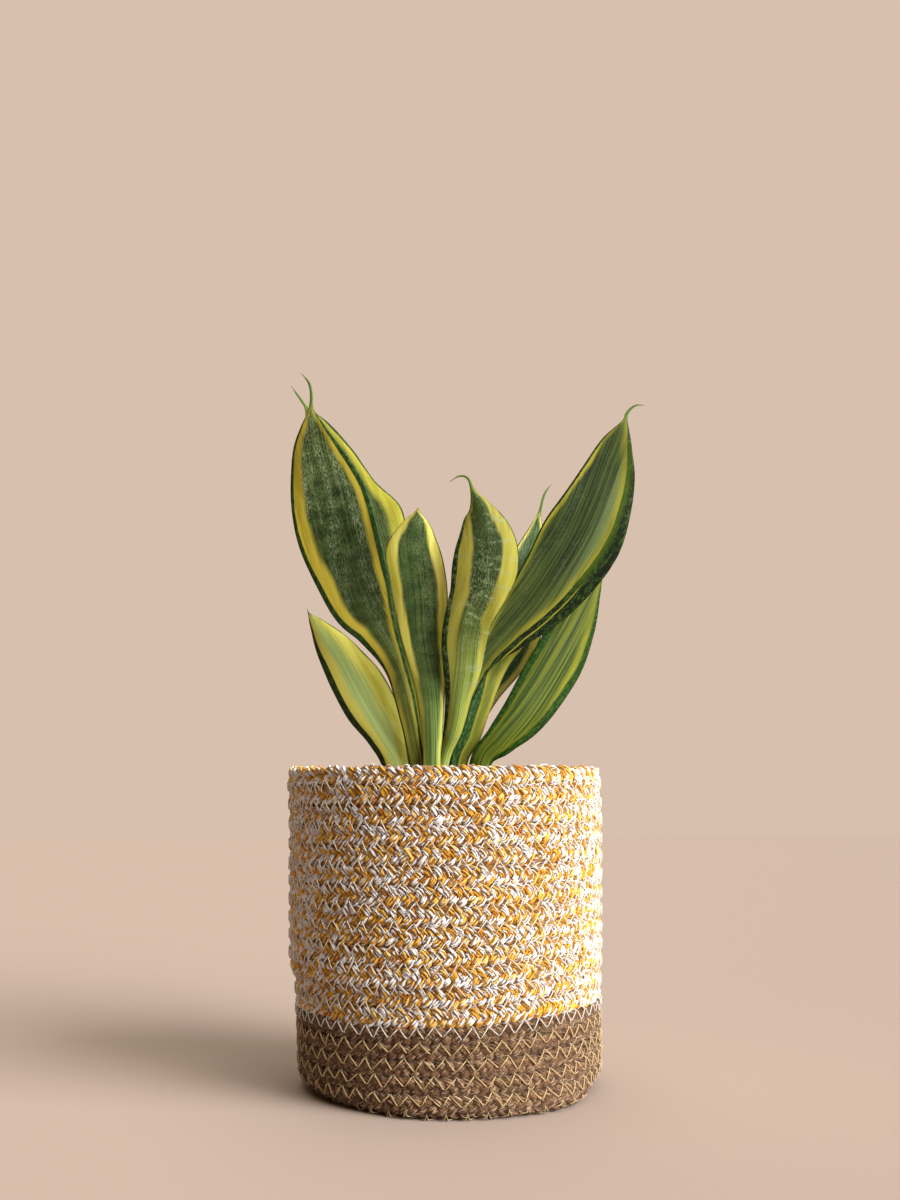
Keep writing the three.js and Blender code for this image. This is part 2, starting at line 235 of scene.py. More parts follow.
def make_object(name: str, shape: Shape, finish: bpy.types.Material, slot: Slot, node: str) -> None:
    """Makes a shape into a piece of the part, in metres.

    Args:
        name: The piece's name.
        shape: Its shape in millimetres.
        finish: Its material.
        slot: A material slot for the piece; not used.
        node: The CAD node that it stands for.
    """
    mesh = bpy.data.meshes.new(name)
    corners = shape.faces.reshape(-1)
    corners = corners[corners >= 0]
    sizes = np.where(shape.faces[:, 3] < 0, 3, 4)
    starts = np.concatenate([[0], np.cumsum(sizes)[:-1]])
    mesh.vertices.add(len(shape.points))
    mesh.vertices.foreach_set("co", (shape.points * MM).astype(np.float32).ravel())
    mesh.loops.add(len(corners))
    mesh.loops.foreach_set("vertex_index", corners.astype(np.int32))
    mesh.polygons.add(len(sizes))
    mesh.polygons.foreach_set("loop_start", starts.astype(np.int32))
    mesh.update(calc_edges=True)
    for domain, layers in (("POINT", shape.at_points), ("FACE", shape.at_faces)):
        for key, values in layers.items():
            add_layer(mesh, key, domain, np.asarray(values, dtype=np.float32))
    mesh.polygons.foreach_set("use_smooth", np.ones(len(sizes), dtype=bool))
    mesh.materials.append(finish)
    mesh.update()
    piece = placed(name, mesh)
    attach(piece, BODY)
    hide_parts(node)
    LOG.info("%s: %d points, %d faces", name, len(shape.points), len(sizes))


def add_layer(mesh: bpy.types.Mesh, key: str, domain: str, values: np.ndarray) -> None:
    """Gives a mesh one named set of values for its material to read.

    Args:
        mesh: The mesh.
        key: The name.
        domain: POINT or FACE.
        values: One number, three or four for each point or face.
    """
    kinds = {1: ("FLOAT", "value"), 3: ("FLOAT_VECTOR", "vector"), 4: ("FLOAT_COLOR", "color")}
    kind, member = kinds[1 if values.ndim == 1 else values.shape[1]]
    layer = mesh.attributes.new(key, kind, domain)
    layer.data.foreach_set(member, values.ravel())


# Materials


class Graph:
    """The nodes of one material."""

    def __init__(self, name: str) -> None:
        """Starts a material that has no nodes yet.

        Args:
            name: The material's name.
        """
        self.material = bpy.data.materials.new(name)
        self.material.use_nodes = True
        self.tree = self.material.node_tree
        self.tree.nodes.clear()

    def add(self, kind: str, values: dict, **settings: object) -> bpy.types.Node:
        """Adds a node.

        Args:
            kind: The node's type.
            values: What goes into its sockets, by name or place: a plain value, a socket or a Wire.
            **settings: The node's own settings.

        Returns:
            The node.
        """
        node = self.tree.nodes.new(kind)
        for key, value in settings.items():
            setattr(node, key, value)
        for key, value in values.items():
            if isinstance(value, Wire):
                value = value.socket
            if isinstance(value, bpy.types.NodeSocket):
                self.tree.links.new(value, node.inputs[key])
            else:
                node.inputs[key].default_value = value
        return node

    def wire(self, kind: str, values: dict, output: int | str = 0, **settings: object) -> "Wire":
        """Adds a node and returns one of its outputs as a Wire."""
        return Wire(self, self.add(kind, values, **settings).outputs[output])

    def layer(self, name: str, output: str) -> "Wire":
        """One output of a mesh's named values: Fac, Vector, Color or Alpha."""
        return self.wire("ShaderNodeAttribute", {}, output, attribute_name=name)

    def split(self, vector: "Wire") -> list["Wire"]:
        """The three numbers of a vector or colour."""
        node = self.add("ShaderNodeSeparateXYZ", {0: vector})
        return [Wire(self, socket) for socket in node.outputs]

    def noise(
        self, x: "Wire", y: "Wire", z: "Wire", detail: float = 2.0, rough: float = 0.5
    ) -> "Wire":
        """Smooth noise from 0 to 1 at a place whose numbers are already scaled.

        Args:
            x: First number of the place.
            y: Second number.
            z: Third number.
            detail: How many finer layers it has.
            rough: How strong the finer layers are.

        Returns:
            The noise.
        """
        place = self.wire("ShaderNodeCombineXYZ", {0: x, 1: y, 2: z})
        values = {"Vector": place, "Scale": 1.0, "Detail": detail, "Roughness": rough}
        return self.wire("ShaderNodeTexNoise", values)

    def mix(
        self, factor: "Wire | float", first: "Wire | Colour", second: "Wire | Colour", blend: str = "MIX"
    ) -> "Wire":
        """Mixes two colours.

        Args:
            factor: 0 for the first, 1 for the second.
            first: A colour.
            second: A colour.
            blend: Blender's name for the way they mix.

        Returns:
            The mixed colour.
        """
        values = {0: factor, 6: first, 7: second}
        return self.wire("ShaderNodeMix", values, 2, data_type="RGBA", blend_type=blend)

    def ramp(self, value: "Wire", stops: Sequence[tuple[float, Colour]]) -> "Wire":
        """A colour that changes with a number.

        Args:
            value: The number.
            stops: Places from 0 to 1 with their colours, in order.

        Returns:
            The colour.
        """
        node = self.add("ShaderNodeValToRGB", {0: value})
        elements = node.color_ramp.elements
        while len(elements) < len(stops):
            elements.new(0.5)
        for element, (place, colour) in zip(elements, stops):
            element.position = place
            element.color = colour
        return Wire(self, node.outputs[0])

    def bump(self, height: "Wire", depth: float, strength: float = 1.0) -> "Wire":
        """The surface normal under a fine relief whose full height is depth metres."""
        values = {"Height": height, "Distance": depth, "Strength": strength}
        return self.wire("ShaderNodeBump", values)

    def finish(self, values: dict) -> bpy.types.Material:
        """Ends the material with a surface.

        Args:
            values: What goes into the surface's sockets, by name.

        Returns:
            The material.
        """
        surface = self.add("ShaderNodeBsdfPrincipled", values)
        self.add("ShaderNodeOutputMaterial", {"Surface": surface.outputs[0]})
        return self.material


class Wire:
    """A number or colour on its way through a material. Plain arithmetic on it adds nodes."""

    def __init__(self, graph: Graph, socket: bpy.types.NodeSocket) -> None:
        """Holds an output socket of a graph's node."""
        self.graph = graph
        self.socket = socket

    def math(self, operation: str, first: "Wire | float", second: "Wire | float" = 0.0) -> "Wire":
        """One step of arithmetic as a node."""
        return self.graph.wire("ShaderNodeMath", {0: first, 1: second}, operation=operation)

    def __add__(self, other: "Wire | float") -> "Wire":
        """The sum."""
        return self.math("ADD", self, other)

    def __sub__(self, other: "Wire | float") -> "Wire":
        """The difference."""
        return self.math("SUBTRACT", self, other)

    def __rsub__(self, other: float) -> "Wire":
        """The difference from a plain number."""
        return self.math("SUBTRACT", other, self)

    def __mul__(self, other: "Wire | float") -> "Wire":
        """The product."""
        return self.math("MULTIPLY", self, other)

    def sine(self) -> "Wire":
        """The sine of an angle in radians."""
        return self.math("SINE", self)

    def smooth(self, low: float, high: float, start: float = 0.0, end: float = 1.0) -> "Wire":
        """A smooth change from start, where the number is low, to end, where it is high."""
        values = {0: self, 1: low, 2: high, 3: start, 4: end}
        return self.graph.wire("ShaderNodeMapRange", values, interpolation_type="SMOOTHSTEP")

    def edge(self, blur: float) -> "Wire":
        """0 where the number is below zero and 1 where it is above, with a soft step as far as blur."""
        return self.smooth(-blur, blur)


# Leaves


@dataclass(frozen=True)
class LeafFinish:
    """The waxy skin of a leaf: green margins, yellow bands and a dark middle, with soft edges between them.

    frost is the strength of the grey flecks and bloom that of pale blotches that cross the bands.
    streaks tells how far long streaks take the place of the mottling, and how strong the painted sheen
    over them is. split is how far inside the right margin a thin yellow line runs, in millimetres, or 0
    for none. greening is how far the bands turn green where the middle is pale. lines is how many long
    lines there are on a millimetre. margin_blur, left_fade and right_fade are how soft the edges of the
    margins and of the middle are, in millimetres. glow is painted light: how much paler the left band
    is made. fresh is how far the right margin turns bright green inside, which ends over the depths of
    fresh_fade. split_width is how far the thin yellow line fades to each side.
    """

    margin_dark: Colour = srgb(30, 54, 22)
    margin_light: Colour = srgb(60, 88, 38)
    margin_fresh: Colour = srgb(66, 96, 26)
    yellow_deep: Colour = srgb(134, 122, 32)
    yellow_light: Colour = srgb(176, 168, 62)
    middle_dark: Colour = srgb(30, 44, 18)
    middle_mid: Colour = srgb(68, 90, 36)
    painted_sheen: Colour = srgb(82, 100, 66)
    fleck: Colour = srgb(138, 154, 112)
    petiole_dark: Colour = srgb(82, 96, 30)
    petiole_light: Colour = srgb(138, 152, 66)
    spine: Colour = srgb(86, 118, 50)
    # Painted light: painted_light_yellow is the paler yellow that glow lays on the left band.
    painted_light_yellow: Colour = srgb(226, 226, 112)
    frost: float = 0.9
    bloom: float = 0.0
    streaks: float = 0.0
    split: float = 0.0
    split_width: float = 0.5
    greening: float = 0.5
    lines: float = 1.3
    margin_blur: float = 0.25
    left_fade: float = 1.0
    right_fade: float = 1.0
    painted_left_light: float = 0.0
    fresh: float = 0.0
    fresh_fade: Span = (0.8, 4.2)
    skin_relief: float = 0.00016

    def make(self, name: str) -> bpy.types.Material:
        """Makes the leaf material of a name."""
        return LeafSkin(name, self).finished()


class LeafSkin:
    """The nodes of one leaf's material, which read the values of its mesh.

    across and along are the millimetres from the midrib and from the foot. first to fourth tell where
    the left yellow band, the dark middle, the right yellow band and the right green margin begin.
    """

    def __init__(self, name: str, look: LeafFinish) -> None:
        """Reads the mesh's values and makes the noises that several layers share.

        Args:
            name: The material's name.
            look: The leaf's colours and strengths.
        """
        self.look = look
        self.graph = graph = Graph(name)
        self.across, self.along, self.seed = graph.split(graph.layer("blade", "Vector"))
        self.first, self.second, self.third = graph.split(graph.layer("stripes", "Color"))
        self.fourth = graph.layer("stripes", "Alpha")
        self.mottled, self.light, self.dark = graph.split(graph.layer("tone", "Color"))
        self.spine = graph.layer("tone", "Alpha")
        self.streak = self.noise(across=0.9, along=0.03) - 0.5
        self.thread = self.noise(across=4.0, along=0.1, detail=2) - 0.5
        self.wave = self.noise(across=0.1, along=0.08, detail=1) - 0.5
        self.crisp = self.across + self.thread * 0.3 + self.wave * 0.8
        self.specks = self.noise(across=1.9, along=0.7, apart=29.0, detail=4, rough=0.75)
        self.cloud = self.noise(across=0.2, along=0.025, apart=3.0)
        self.lines = self.noise(across=look.lines, along=0.012, apart=17.0)

    def noise(
        self, across: float, along: float, apart: float = 0.0, detail: float = 3.0, rough: float = 0.5
    ) -> Wire:
        """Noise that lies on the blade.

        Args:
            across: How many of its spots there are on a millimetre across the blade.
            along: How many there are on a millimetre along it.
            apart: A number that sets it apart from the other noises.
            detail: How many finer layers it has.
            rough: How strong the finer layers are.

        Returns:
            The noise, from 0 to 1.
        """
        return self.graph.noise(self.across * across, self.along * along, self.seed + apart, detail, rough)

    def foot(self) -> Wire:
        """1 on the leaf's light foot and 0 on its blade."""
        return self.light.smooth(0.0, 0.12)

    def inside(self) -> Wire:
        """1 between the two green margins and 0 on them."""
        blur = self.look.margin_blur
        return (self.crisp - self.first).edge(blur) * (self.fourth - self.crisp).edge(blur)

    def middle(self) -> Wire:
        """Where the leaf's middle lies.

        Returns:
            1 on the middle and 0 outside it.
        """
        soft = self.across + self.streak * 1.6 + self.thread * 0.6 + self.wave * 1.8
        left = (soft - self.second).edge(self.look.left_fade)
        return left * (self.third - soft).edge(self.look.right_fade)

    def margin(self) -> Wire:
        """The margins: blotched dark green, with a fresh inner side and a yellow line on the right one.

        Returns:
            The colour.
        """
        graph, look = self.graph, self.look
        blotch = self.noise(across=0.9, along=0.4, apart=7.0, detail=4, rough=0.7)
        colour = graph.mix(blotch.smooth(0.46, 0.66), look.margin_dark, look.margin_light)
        depth = self.crisp - self.fourth
        if look.fresh:
            inner = depth.edge(0.4) * (1.0 - depth.smooth(*look.fresh_fade)) * (1.0 - self.foot())
            colour = graph.mix(inner * look.fresh, colour, look.margin_fresh)
        if look.split:
            width = look.split_width
            near = depth.smooth(look.split - width, look.split)
            line = near * (look.split + width - depth).smooth(0.0, width)
            colour = graph.mix(line * self.foot(), colour, look.yellow_light)
        return colour

    def yellow(self) -> Wire:
        """The yellow bands: cloudy, greener towards the foot, and with glow's painted light on the left
        one.

        Returns:
            The colour.
        """
        graph, look = self.graph, self.look
        shade = (self.cloud + self.thread * 0.25).smooth(0.34, 0.66)
        colour = graph.mix(shade, look.yellow_deep, look.yellow_light)
        colour = graph.mix(self.light * look.greening, colour, look.petiole_light)
        # Painted light: the left yellow band is made paler.
        if look.painted_left_light:
            left = (0.0 - self.across).edge(0.5)
            colour = graph.mix(left * look.painted_left_light, colour, look.painted_light_yellow)
        return colour

    def body(self) -> Wire:
        """The middle: dark green with lines and grey flecks, and light at the foot.

        Returns:
            The colour.
        """
        graph, look = self.graph, self.look
        bands = self.noise(across=0.12, along=0.17, apart=23.0)
        columns = self.noise(across=0.22, along=0.02, apart=31.0, detail=2)
        pattern = self.lines * 0.45 + bands * 0.3 + self.specks * 0.25
        paleness = pattern.smooth(0.4, 0.6) * (1.0 - self.dark * 0.6)
        colour = graph.mix(paleness, look.middle_dark, look.middle_mid)
        if look.streaks:
            colour = self.streaked(colour)
        patches = bands.smooth(0.4, 0.6, 0.45, 1.0) * columns.smooth(0.4, 0.6, 0.2, 1.0)
        frost = self.mottled * patches * self.specks.smooth(0.44, 0.6)
        colour = graph.mix(frost * look.frost, colour, look.fleck)
        stalk = graph.mix(self.lines.smooth(0.36, 0.62), look.petiole_dark, look.petiole_light)
        return graph.mix(self.light, colour, stalk)

    def streaked(self, colour: Wire) -> Wire:
        """Lays long streaks over the middle, and a painted sheen over them, paler towards the right and
        top.

        Args:
            colour: The colour under them.

        Returns:
            The colour with them.
        """
        graph, look = self.graph, self.look
        wide = self.noise(across=0.24, along=0.004, apart=37.0, detail=4, rough=0.6)
        fine = self.noise(across=0.9, along=0.006, apart=43.0, rough=0.6)
        dark, mid = look.middle_dark, look.middle_mid
        stops = [(0.38, dark), (0.43, mid), (0.46, dark), (0.5, dark), (0.54, mid), (0.58, dark)]
        striped = self.along.smooth(60.0, 170.0, 0.5, 1.0) * look.streaks
        colour = graph.mix(striped, colour, graph.ramp(wide * 0.7 + fine * 0.3, stops))
        # Painted sheen: a pale highlight over the streaks, stronger towards the right and the top.
        sheen = self.across.smooth(-3.0, 11.0) * self.along.smooth(90.0, 200.0, 0.2, 1.0)
        sheen = sheen * (wide * 0.5 + fine * 0.5).smooth(0.44, 0.56)
        return graph.mix(sheen * look.streaks, colour, look.painted_sheen)

    def finished(self) -> bpy.types.Material:
        """Lays the colours over each other and ends the material.

        Returns:
            The leaf material.
        """
        graph, look = self.graph, self.look
        inside = self.inside()
        colour = graph.mix(inside, self.margin(), self.yellow())
        colour = graph.mix(self.middle() * inside, colour, self.body())
        if look.bloom:
            blots = self.noise(across=0.12, along=0.32, apart=41.0, detail=4).smooth(0.54, 0.68)
            colour = graph.mix(blots * self.specks.smooth(0.4, 0.58) * look.bloom, colour, look.fleck)
        relief = self.thread * 0.6 + self.streak * 0.4 + self.specks * self.mottled * 0.35
        return graph.finish(
            {
                "Base Color": graph.mix(self.spine, colour, look.spine),
                "Roughness": self.cloud.smooth(0.2, 0.8, 0.46, 0.58),
                "Specular IOR Level": 0.12,
                "Subsurface Weight": 0.06,
                "Subsurface Radius": (0.002, 0.003, 0.0008),
                "Subsurface Scale": 1.0,
                "Normal": graph.bump(relief, look.skin_relief),
            }
        )


@dataclass(frozen=True)
class Leaf:
    """One leaf: the CAD's stations for its shape, and what its two faces look like.

    rows: (x, y, z, width left of the midrib, width right of it), from the basket's rim to the tip.
    stripes: (z, left green margin, left yellow band, right yellow band, right green margin), as widths.
    tones: (z, strength of the pale mottling, how light and green the middle is, how dark it is).
    """

    root: Span
    facing: float
    curl: float
    rows: tuple[tuple[float, ...], ...]
    stripes: tuple[tuple[float, ...], ...]
    tones: tuple[tuple[float, ...], ...]
    finish: LeafFinish = LeafFinish()


LEAVES = {
    "leaf_1": Leaf(
        root=(-14.5, -3.5),
        facing=-15,
        curl=0.06,
        rows=(
            (-15.5, -5, 153, 3.6, 3.6), (-21, -10, 183, 4.9, 5), (-26, -13, 200, 5.8, 5.8),
            (-35, -15.5, 215.5, 9, 11.4), (-43, -17.5, 229.5, 14.3, 17.5),
            (-51, -19.5, 256.5, 19.6, 19.8), (-56, -20.5, 278, 19.2, 18.2),
            (-61.5, -21, 299, 13.2, 11), (-63.5, -21.5, 311, 6.6, 4.9),
            (-64.7, -21.5, 318.5, 1.3, 1.3), (-64.5, -21.5, 325.3, 0.7, 0.7),
            (-65.6, -22, 330.7, 0.6, 0.6), (-69.1, -22, 335, 0.4, 0.4),
        ),
        stripes=(
            (153, 0.6, 1.2, 0.6, 0.8), (192, 1, 1.5, 0.8, 1.4), (217, 3, 3.8, 1.8, 1.8),
            (242, 2.6, 6.2, 2.6, 3), (267, 1.7, 5.8, 2.8, 2.9), (292, 1.6, 4.4, 2.6, 2.5),
            (311, 1.1, 2.2, 1.4, 1), (318, 0.3, 0.3, 0.3, 0.3),
        ),
        finish=LeafFinish(
            margin_light=srgb(66, 94, 44),
            yellow_deep=srgb(148, 134, 38),
            yellow_light=srgb(192, 180, 66),
            middle_mid=srgb(84, 108, 54),
            fleck=srgb(160, 180, 146),
            petiole_dark=srgb(104, 116, 38),
            petiole_light=srgb(170, 178, 82),
            frost=1.0,
            left_fade=1.5,
            right_fade=1.3,
        ),
        tones=(
            (153, 0.1, 0.6, 0.3), (176, 0.1, 0.4, 0.4), (200, 0.2, 0.2, 0.7), (217, 0.3, 0.05, 0.9),
            (240, 0.25, 0, 1), (262, 0.5, 0, 0.7), (280, 1, 0, 0.3), (290, 1, 0.05, 0.1),
            (318, 0.8, 0.1, 0.2),
        ),
    ),
    "leaf_2": Leaf(
        root=(-9, 6),
        facing=15,
        curl=0.16,
        rows=(
            (-13.5, 8, 153, 3.4, 3.8), (-18.5, 13, 177, 4, 4.5), (-24, 18.5, 200.5, 6.7, 6.7),
            (-30.5, 23, 221, 11.1, 11.6), (-36, 27.5, 241.5, 16.2, 15.8),
            (-40.5, 32, 262, 18.7, 18.7), (-45, 35.5, 278, 18.4, 21.3),
            (-51, 39, 293.5, 16.9, 13.7), (-59, 42, 311, 13.1, 10.1), (-67, 45, 325.5, 7.7, 6.9),
            (-73.9, 47, 337.6, 1.2, 1.2), (-77, 48, 342.5, 0.6, 0.6), (-82.2, 49, 350.1, 0.4, 0.4),
        ),
        stripes=(
            (153, 0.5, 1, 1, 0.5), (221, 1, 3, 3, 1), (262, 0.8, 5, 6, 0.7),
            (278, 0.8, 6, 7.4, 0.7), (290, 0.8, 5, 5, 0.8), (297, 0.8, 3.5, 3.4, 0.8),
            (304, 0.8, 1, 2.8, 0.8), (316, 0.8, 0.6, 2.4, 1.2),
            (325, 0.8, 0.4, 0.8, 1.6), (337, 0.1, 0.2, 0.2, 0.1),
        ),
        tones=(
            (153, 0.1, 1, 0.3), (200, 0.3, 0.2, 0.8), (330, 0.3, 0.1, 0.8),
        ),
        finish=LeafFinish(
            yellow_deep=srgb(156, 150, 46),
            yellow_light=srgb(190, 186, 68),
            right_fade=2.4,
        ),
    ),
    "leaf_3": Leaf(
        root=(-8.5, -11),
        facing=-5,
        curl=-0.08,
        rows=(
            (-8, -10.5, 153, 4.9, 3.9), (-8, -11, 169, 5.6, 4.8), (-9, -12, 188, 7.4, 6.9),
            (-11.5, -13, 202, 8.4, 9.5), (-13.5, -14, 216.5, 10.4, 11.3),
            (-14, -15.5, 230, 12.9, 13.2), (-15.5, -17, 243, 13.4, 13.4),
            (-17, -18, 254.5, 13.2, 12), (-16.5, -19, 263.5, 7.4, 8.6),
            (-15.5, -20, 269.5, 2.9, 4.4), (-14.8, -20.5, 272.8, 0.8, 0.8),
        ),
        stripes=(
            (153, 0.3, 1.1, 1.3, 0.2), (188, 0.3, 2.4, 1.3, 0.4), (202, 0.3, 3.4, 1.8, 0.5),
            (217, 0.3, 4, 2.6, 0.6), (230, 0.3, 4.6, 3.6, 0.6), (243, 0.3, 5, 4.2, 0.5),
            (254, 0.3, 5.8, 4.4, 0.5), (264, 0.3, 3.2, 2.4, 0.4), (271, 0.2, 0.4, 0.4, 0.2),
        ),
        tones=(
            (153, 0.1, 0.9, 0.2), (172, 0.1, 0.8, 0.2), (188, 0.3, 0.3, 0.6), (204, 0.4, 0.05, 0.8),
            (243, 0.7, 0, 0.7), (270, 0.7, 0.05, 0.7),
        ),
        # Painted light: this leaf's yellow and middle colours are paler than the other leaves', to lift the
        # shade that falls on it.
        finish=LeafFinish(
            yellow_deep=srgb(206, 198, 72),
            yellow_light=srgb(240, 236, 124),
            middle_dark=srgb(42, 64, 32),
            middle_mid=srgb(92, 120, 62),
            petiole_dark=srgb(84, 110, 50),
            petiole_light=srgb(126, 152, 80),
        ),
    ),
    "leaf_4": Leaf(
        root=(-4.5, -5.2),
        facing=6,
        curl=-0.2,
        rows=(
            (-3, -5, 153, 2.9, 2.9), (2, -10, 169, 5, 4.1), (4.5, -14.5, 183.5, 6.6, 6),
            (6.5, -18.5, 196.5, 9.5, 8.5), (7.5, -22, 210, 11.2, 10.4),
            (10, -24.5, 221.5, 12.1, 10.7), (14, -26.5, 231.5, 14, 12.4),
            (16.5, -28.5, 242.5, 15.3, 15.5), (17.5, -30, 254, 14.2, 14.4),
            (16.5, -31, 264.5, 10.6, 9.8), (15, -31.5, 271, 7.3, 4.4),
            (11.5, -31.5, 276.5, 2.1, 2.1), (10, -32, 280.2, 0.8, 0.8), (9, -32, 283.1, 0.6, 0.6),
            (7.1, -32, 284.8, 0.5, 0.5), (3.9, -32, 284.8, 0.4, 0.4), (0.2, -32, 282.3, 0.4, 0.4),
        ),
        stripes=(
            (153, 0.4, 0.8, 1.2, 0.2), (178, 1.6, 1.4, 2.4, 0.2), (190, 2.8, 1.8, 2.6, 0.3),
            (203, 2.8, 3.6, 3, 0.3), (215, 2.4, 4.8, 3.4, 0.4), (228, 2, 6.6, 6, 0.5),
            (240, 2.4, 6.4, 8.2, 0.5), (252, 1.8, 5.8, 7.4, 0.6), (265, 1, 3.1, 6, 0.6),
            (272, 0.4, 0.8, 1.6, 0.3), (278, 0.2, 0.3, 0.5, 0.2),
        ),
        tones=(
            (153, 0.1, 0.9, 0.1), (170, 0.1, 0.8, 0.1), (195, 0.5, 0.5, 0.4), (215, 0.7, 0.15, 0.6),
            (235, 0.9, 0, 0.8), (252, 0.5, 0, 0.9), (272, 0.3, 0.05, 0.9),
        ),
        finish=LeafFinish(
            margin_light=srgb(92, 118, 72),
            yellow_deep=srgb(122, 116, 36),
            yellow_light=srgb(162, 158, 64),
            middle_dark=srgb(24, 38, 14),
            middle_mid=srgb(58, 80, 32),
            petiole_dark=srgb(118, 140, 58),
            petiole_light=srgb(178, 196, 96),
            bloom=0.75,
        ),
    ),
    "leaf_5": Leaf(
        root=(0, 1.5),
        facing=12,
        curl=0.12,
        rows=(
            (-1, 4.5, 153, 3.5, 3.5), (2, 3.5, 169.5, 3.6, 3.4), (4.8, 0.5, 179, 3.6, 3.4),
            (8.8, -2.5, 188, 4.6, 3.8), (17.9, -4, 202, 7.5, 3.6), (29.8, -5, 215.5, 11.7, 8.4),
            (42, -6.5, 230, 15.6, 14.5), (52.3, -8, 245, 17.4, 18.4), (62, -9.5, 261, 19, 20),
            (69.5, -11, 277.5, 15.6, 17.7), (75.5, -12, 294, 11, 13.2), (80, -13, 305.5, 7.5, 6.6),
            (82.8, -14, 315, 1.3, 1.4), (83.5, -14, 318, 0.8, 0.8), (85.5, -14, 320.8, 0.6, 0.6),
            (88.5, -14, 322.6, 0.5, 0.5), (92, -14, 322.4, 0.4, 0.4),
        ),
        stripes=(
            (153, 1.6, 0.8, 0.4, 0.6), (169, 1.8, 0.8, 0.4, 0.6), (188, 1.6, 1, 0.5, 0.8),
            (202, 1, 0.9, 0.6, 1.6), (215, 0.7, 1, 1.4, 5.2), (230, 0.8, 1.1, 1.6, 8),
            (245, 0.8, 1.3, 1.9, 9), (261, 0.8, 1.4, 2.1, 8.4), (277, 0.9, 1.4, 2.2, 6.6),
            (294, 1, 1.4, 2.2, 4.6), (306, 0.6, 1.2, 1.8, 2.4), (315, 0.2, 0.3, 0.3, 0.4),
        ),
        tones=(
            (153, 0.1, 0.3, 0.8), (202, 0.2, 0.14, 0.9), (236, 0.3, 0.12, 0.9), (250, 0.4, 0, 0.9),
            (261, 0.5, 0, 0.8), (294, 0.4, 0, 0.6), (315, 0.2, 0.1, 0.6),
        ),
        finish=LeafFinish(
            margin_dark=srgb(14, 28, 10),
            margin_light=srgb(56, 80, 30),
            margin_fresh=srgb(74, 100, 24),
            yellow_deep=srgb(112, 112, 30),
            yellow_light=srgb(154, 152, 46),
            middle_dark=srgb(28, 38, 20),
            middle_mid=srgb(68, 88, 38),
            painted_sheen=srgb(112, 132, 82),
            right_fade=2.8,
            fresh=0.6,
            frost=0.3,
            streaks=0.85,
            split=2.8,
        ),
    ),
    "leaf_6": Leaf(
        root=(4.8, -7),
        facing=-8,
        curl=0.16,
        rows=(
            (4.5, -2.5, 153, 3.9, 4.3), (10, -1, 167, 4.4, 5.4), (15.5, 3.5, 184, 4.2, 5.8),
            (24.5, 9, 202.5, 6.6, 5), (34, 15, 218.5, 10.1, 8.1), (43, 20.5, 232.5, 13.2, 12.2),
            (52, 26, 246.5, 13.2, 13.2), (59, 31.5, 261, 9.9, 9.5), (64.5, 36, 273, 1.5, 1.5),
            (66.1, 37.5, 277.3, 0.6, 0.6), (68.8, 39, 281.6, 0.4, 0.4),
        ),
        stripes=(
            (153, 3.6, 1, 1.6, 0.2), (167, 4.4, 1, 1.8, 0.2), (184, 4, 1, 1.8, 0.2),
            (202, 2, 1.5, 2, 0.4), (218, 1, 4, 4, 0.6), (246, 1, 5, 5, 0.6),
            (273, 0.2, 0.3, 0.3, 0.2),
        ),
        tones=(
            (153, 0.2, 0.9, 0.3), (184, 0.4, 0.6, 0.6), (240, 0.3, 0.2, 0.7),
        ),
        finish=LeafFinish(
            margin_dark=srgb(36, 68, 30),
            margin_light=srgb(80, 114, 60),
            petiole_dark=srgb(122, 130, 44),
            petiole_light=srgb(150, 160, 62),
        ),
    ),
    "leaf_7": Leaf(
        root=(5, 8.5),
        facing=-5,
        curl=0.16,
        rows=(
            (4.5, 10.5, 153, 3.9, 3.9), (10, 15, 170, 4.4, 4.7), (16, 20, 188, 7.1, 8.8),
            (23, 26, 205.5, 11, 15.2), (29, 32, 224, 13.5, 18.5), (34.5, 38, 243, 12.2, 16),
            (39.5, 43.5, 259, 7.8, 10.8), (43.5, 47, 271, 4.9, 5.5), (46, 50, 281, 1.9, 1.8),
            (47.1, 51.5, 285.5, 0.8, 0.8), (49.5, 54, 294.8, 0.6, 0.6), (53.4, 56, 300.8, 0.4, 0.4),
        ),
        stripes=(
            (153, 0.5, 1, 1, 0.4), (188, 0.6, 2, 2.6, 0.4), (205, 0.8, 3, 3, 0.4),
            (224, 0.8, 3.5, 3.4, 0.4), (243, 0.6, 1.6, 3, 0.5), (259, 0.6, 1, 2, 0.5),
            (271, 0.5, 0.8, 1, 0.5), (281, 0.3, 0.6, 0.6, 0.3),
        ),
        tones=(
            (153, 0.1, 0.3, 0.5), (190, 0.1, 0, 0.6), (240, 0.4, 0, 0.5), (281, 0.8, 0.1, 0.2),
        ),
        # Painted light: this leaf's yellow and middle colours are paler than the other leaves', to lift the
        # shade that the leaves in front cast on it.
        finish=LeafFinish(
            yellow_deep=srgb(224, 212, 84),
            yellow_light=srgb(246, 240, 136),
            middle_dark=srgb(44, 70, 42),
            middle_mid=srgb(92, 122, 84),
            frost=1.0,
        ),
    ),
    "leaf_8": Leaf(
        root=(15.6, -5),
        facing=18,
        curl=-0.14,
        rows=(
            (15, -6.5, 153, 5.4, 5.4), (24, -6, 165.5, 6.8, 9.5), (34, -3.5, 177, 9.2, 13.2),
            (44, 0.5, 191.5, 11.2, 14.8), (53.5, 4.5, 207.5, 11.6, 15.2),
            (62.5, 8.5, 224, 10.6, 11.5), (69.5, 11.5, 238, 6.9, 5.6), (75, 14, 249, 1.5, 1.2),
            (75.8, 15, 253.2, 0.6, 0.6), (76.4, 16, 258.4, 0.4, 0.4),
        ),
        stripes=(
            (153, 1.6, 0.2, 0.6, 1.8), (165, 2.2, 0.2, 0.8, 3.4), (177, 2.8, 0.2, 0.8, 4.4),
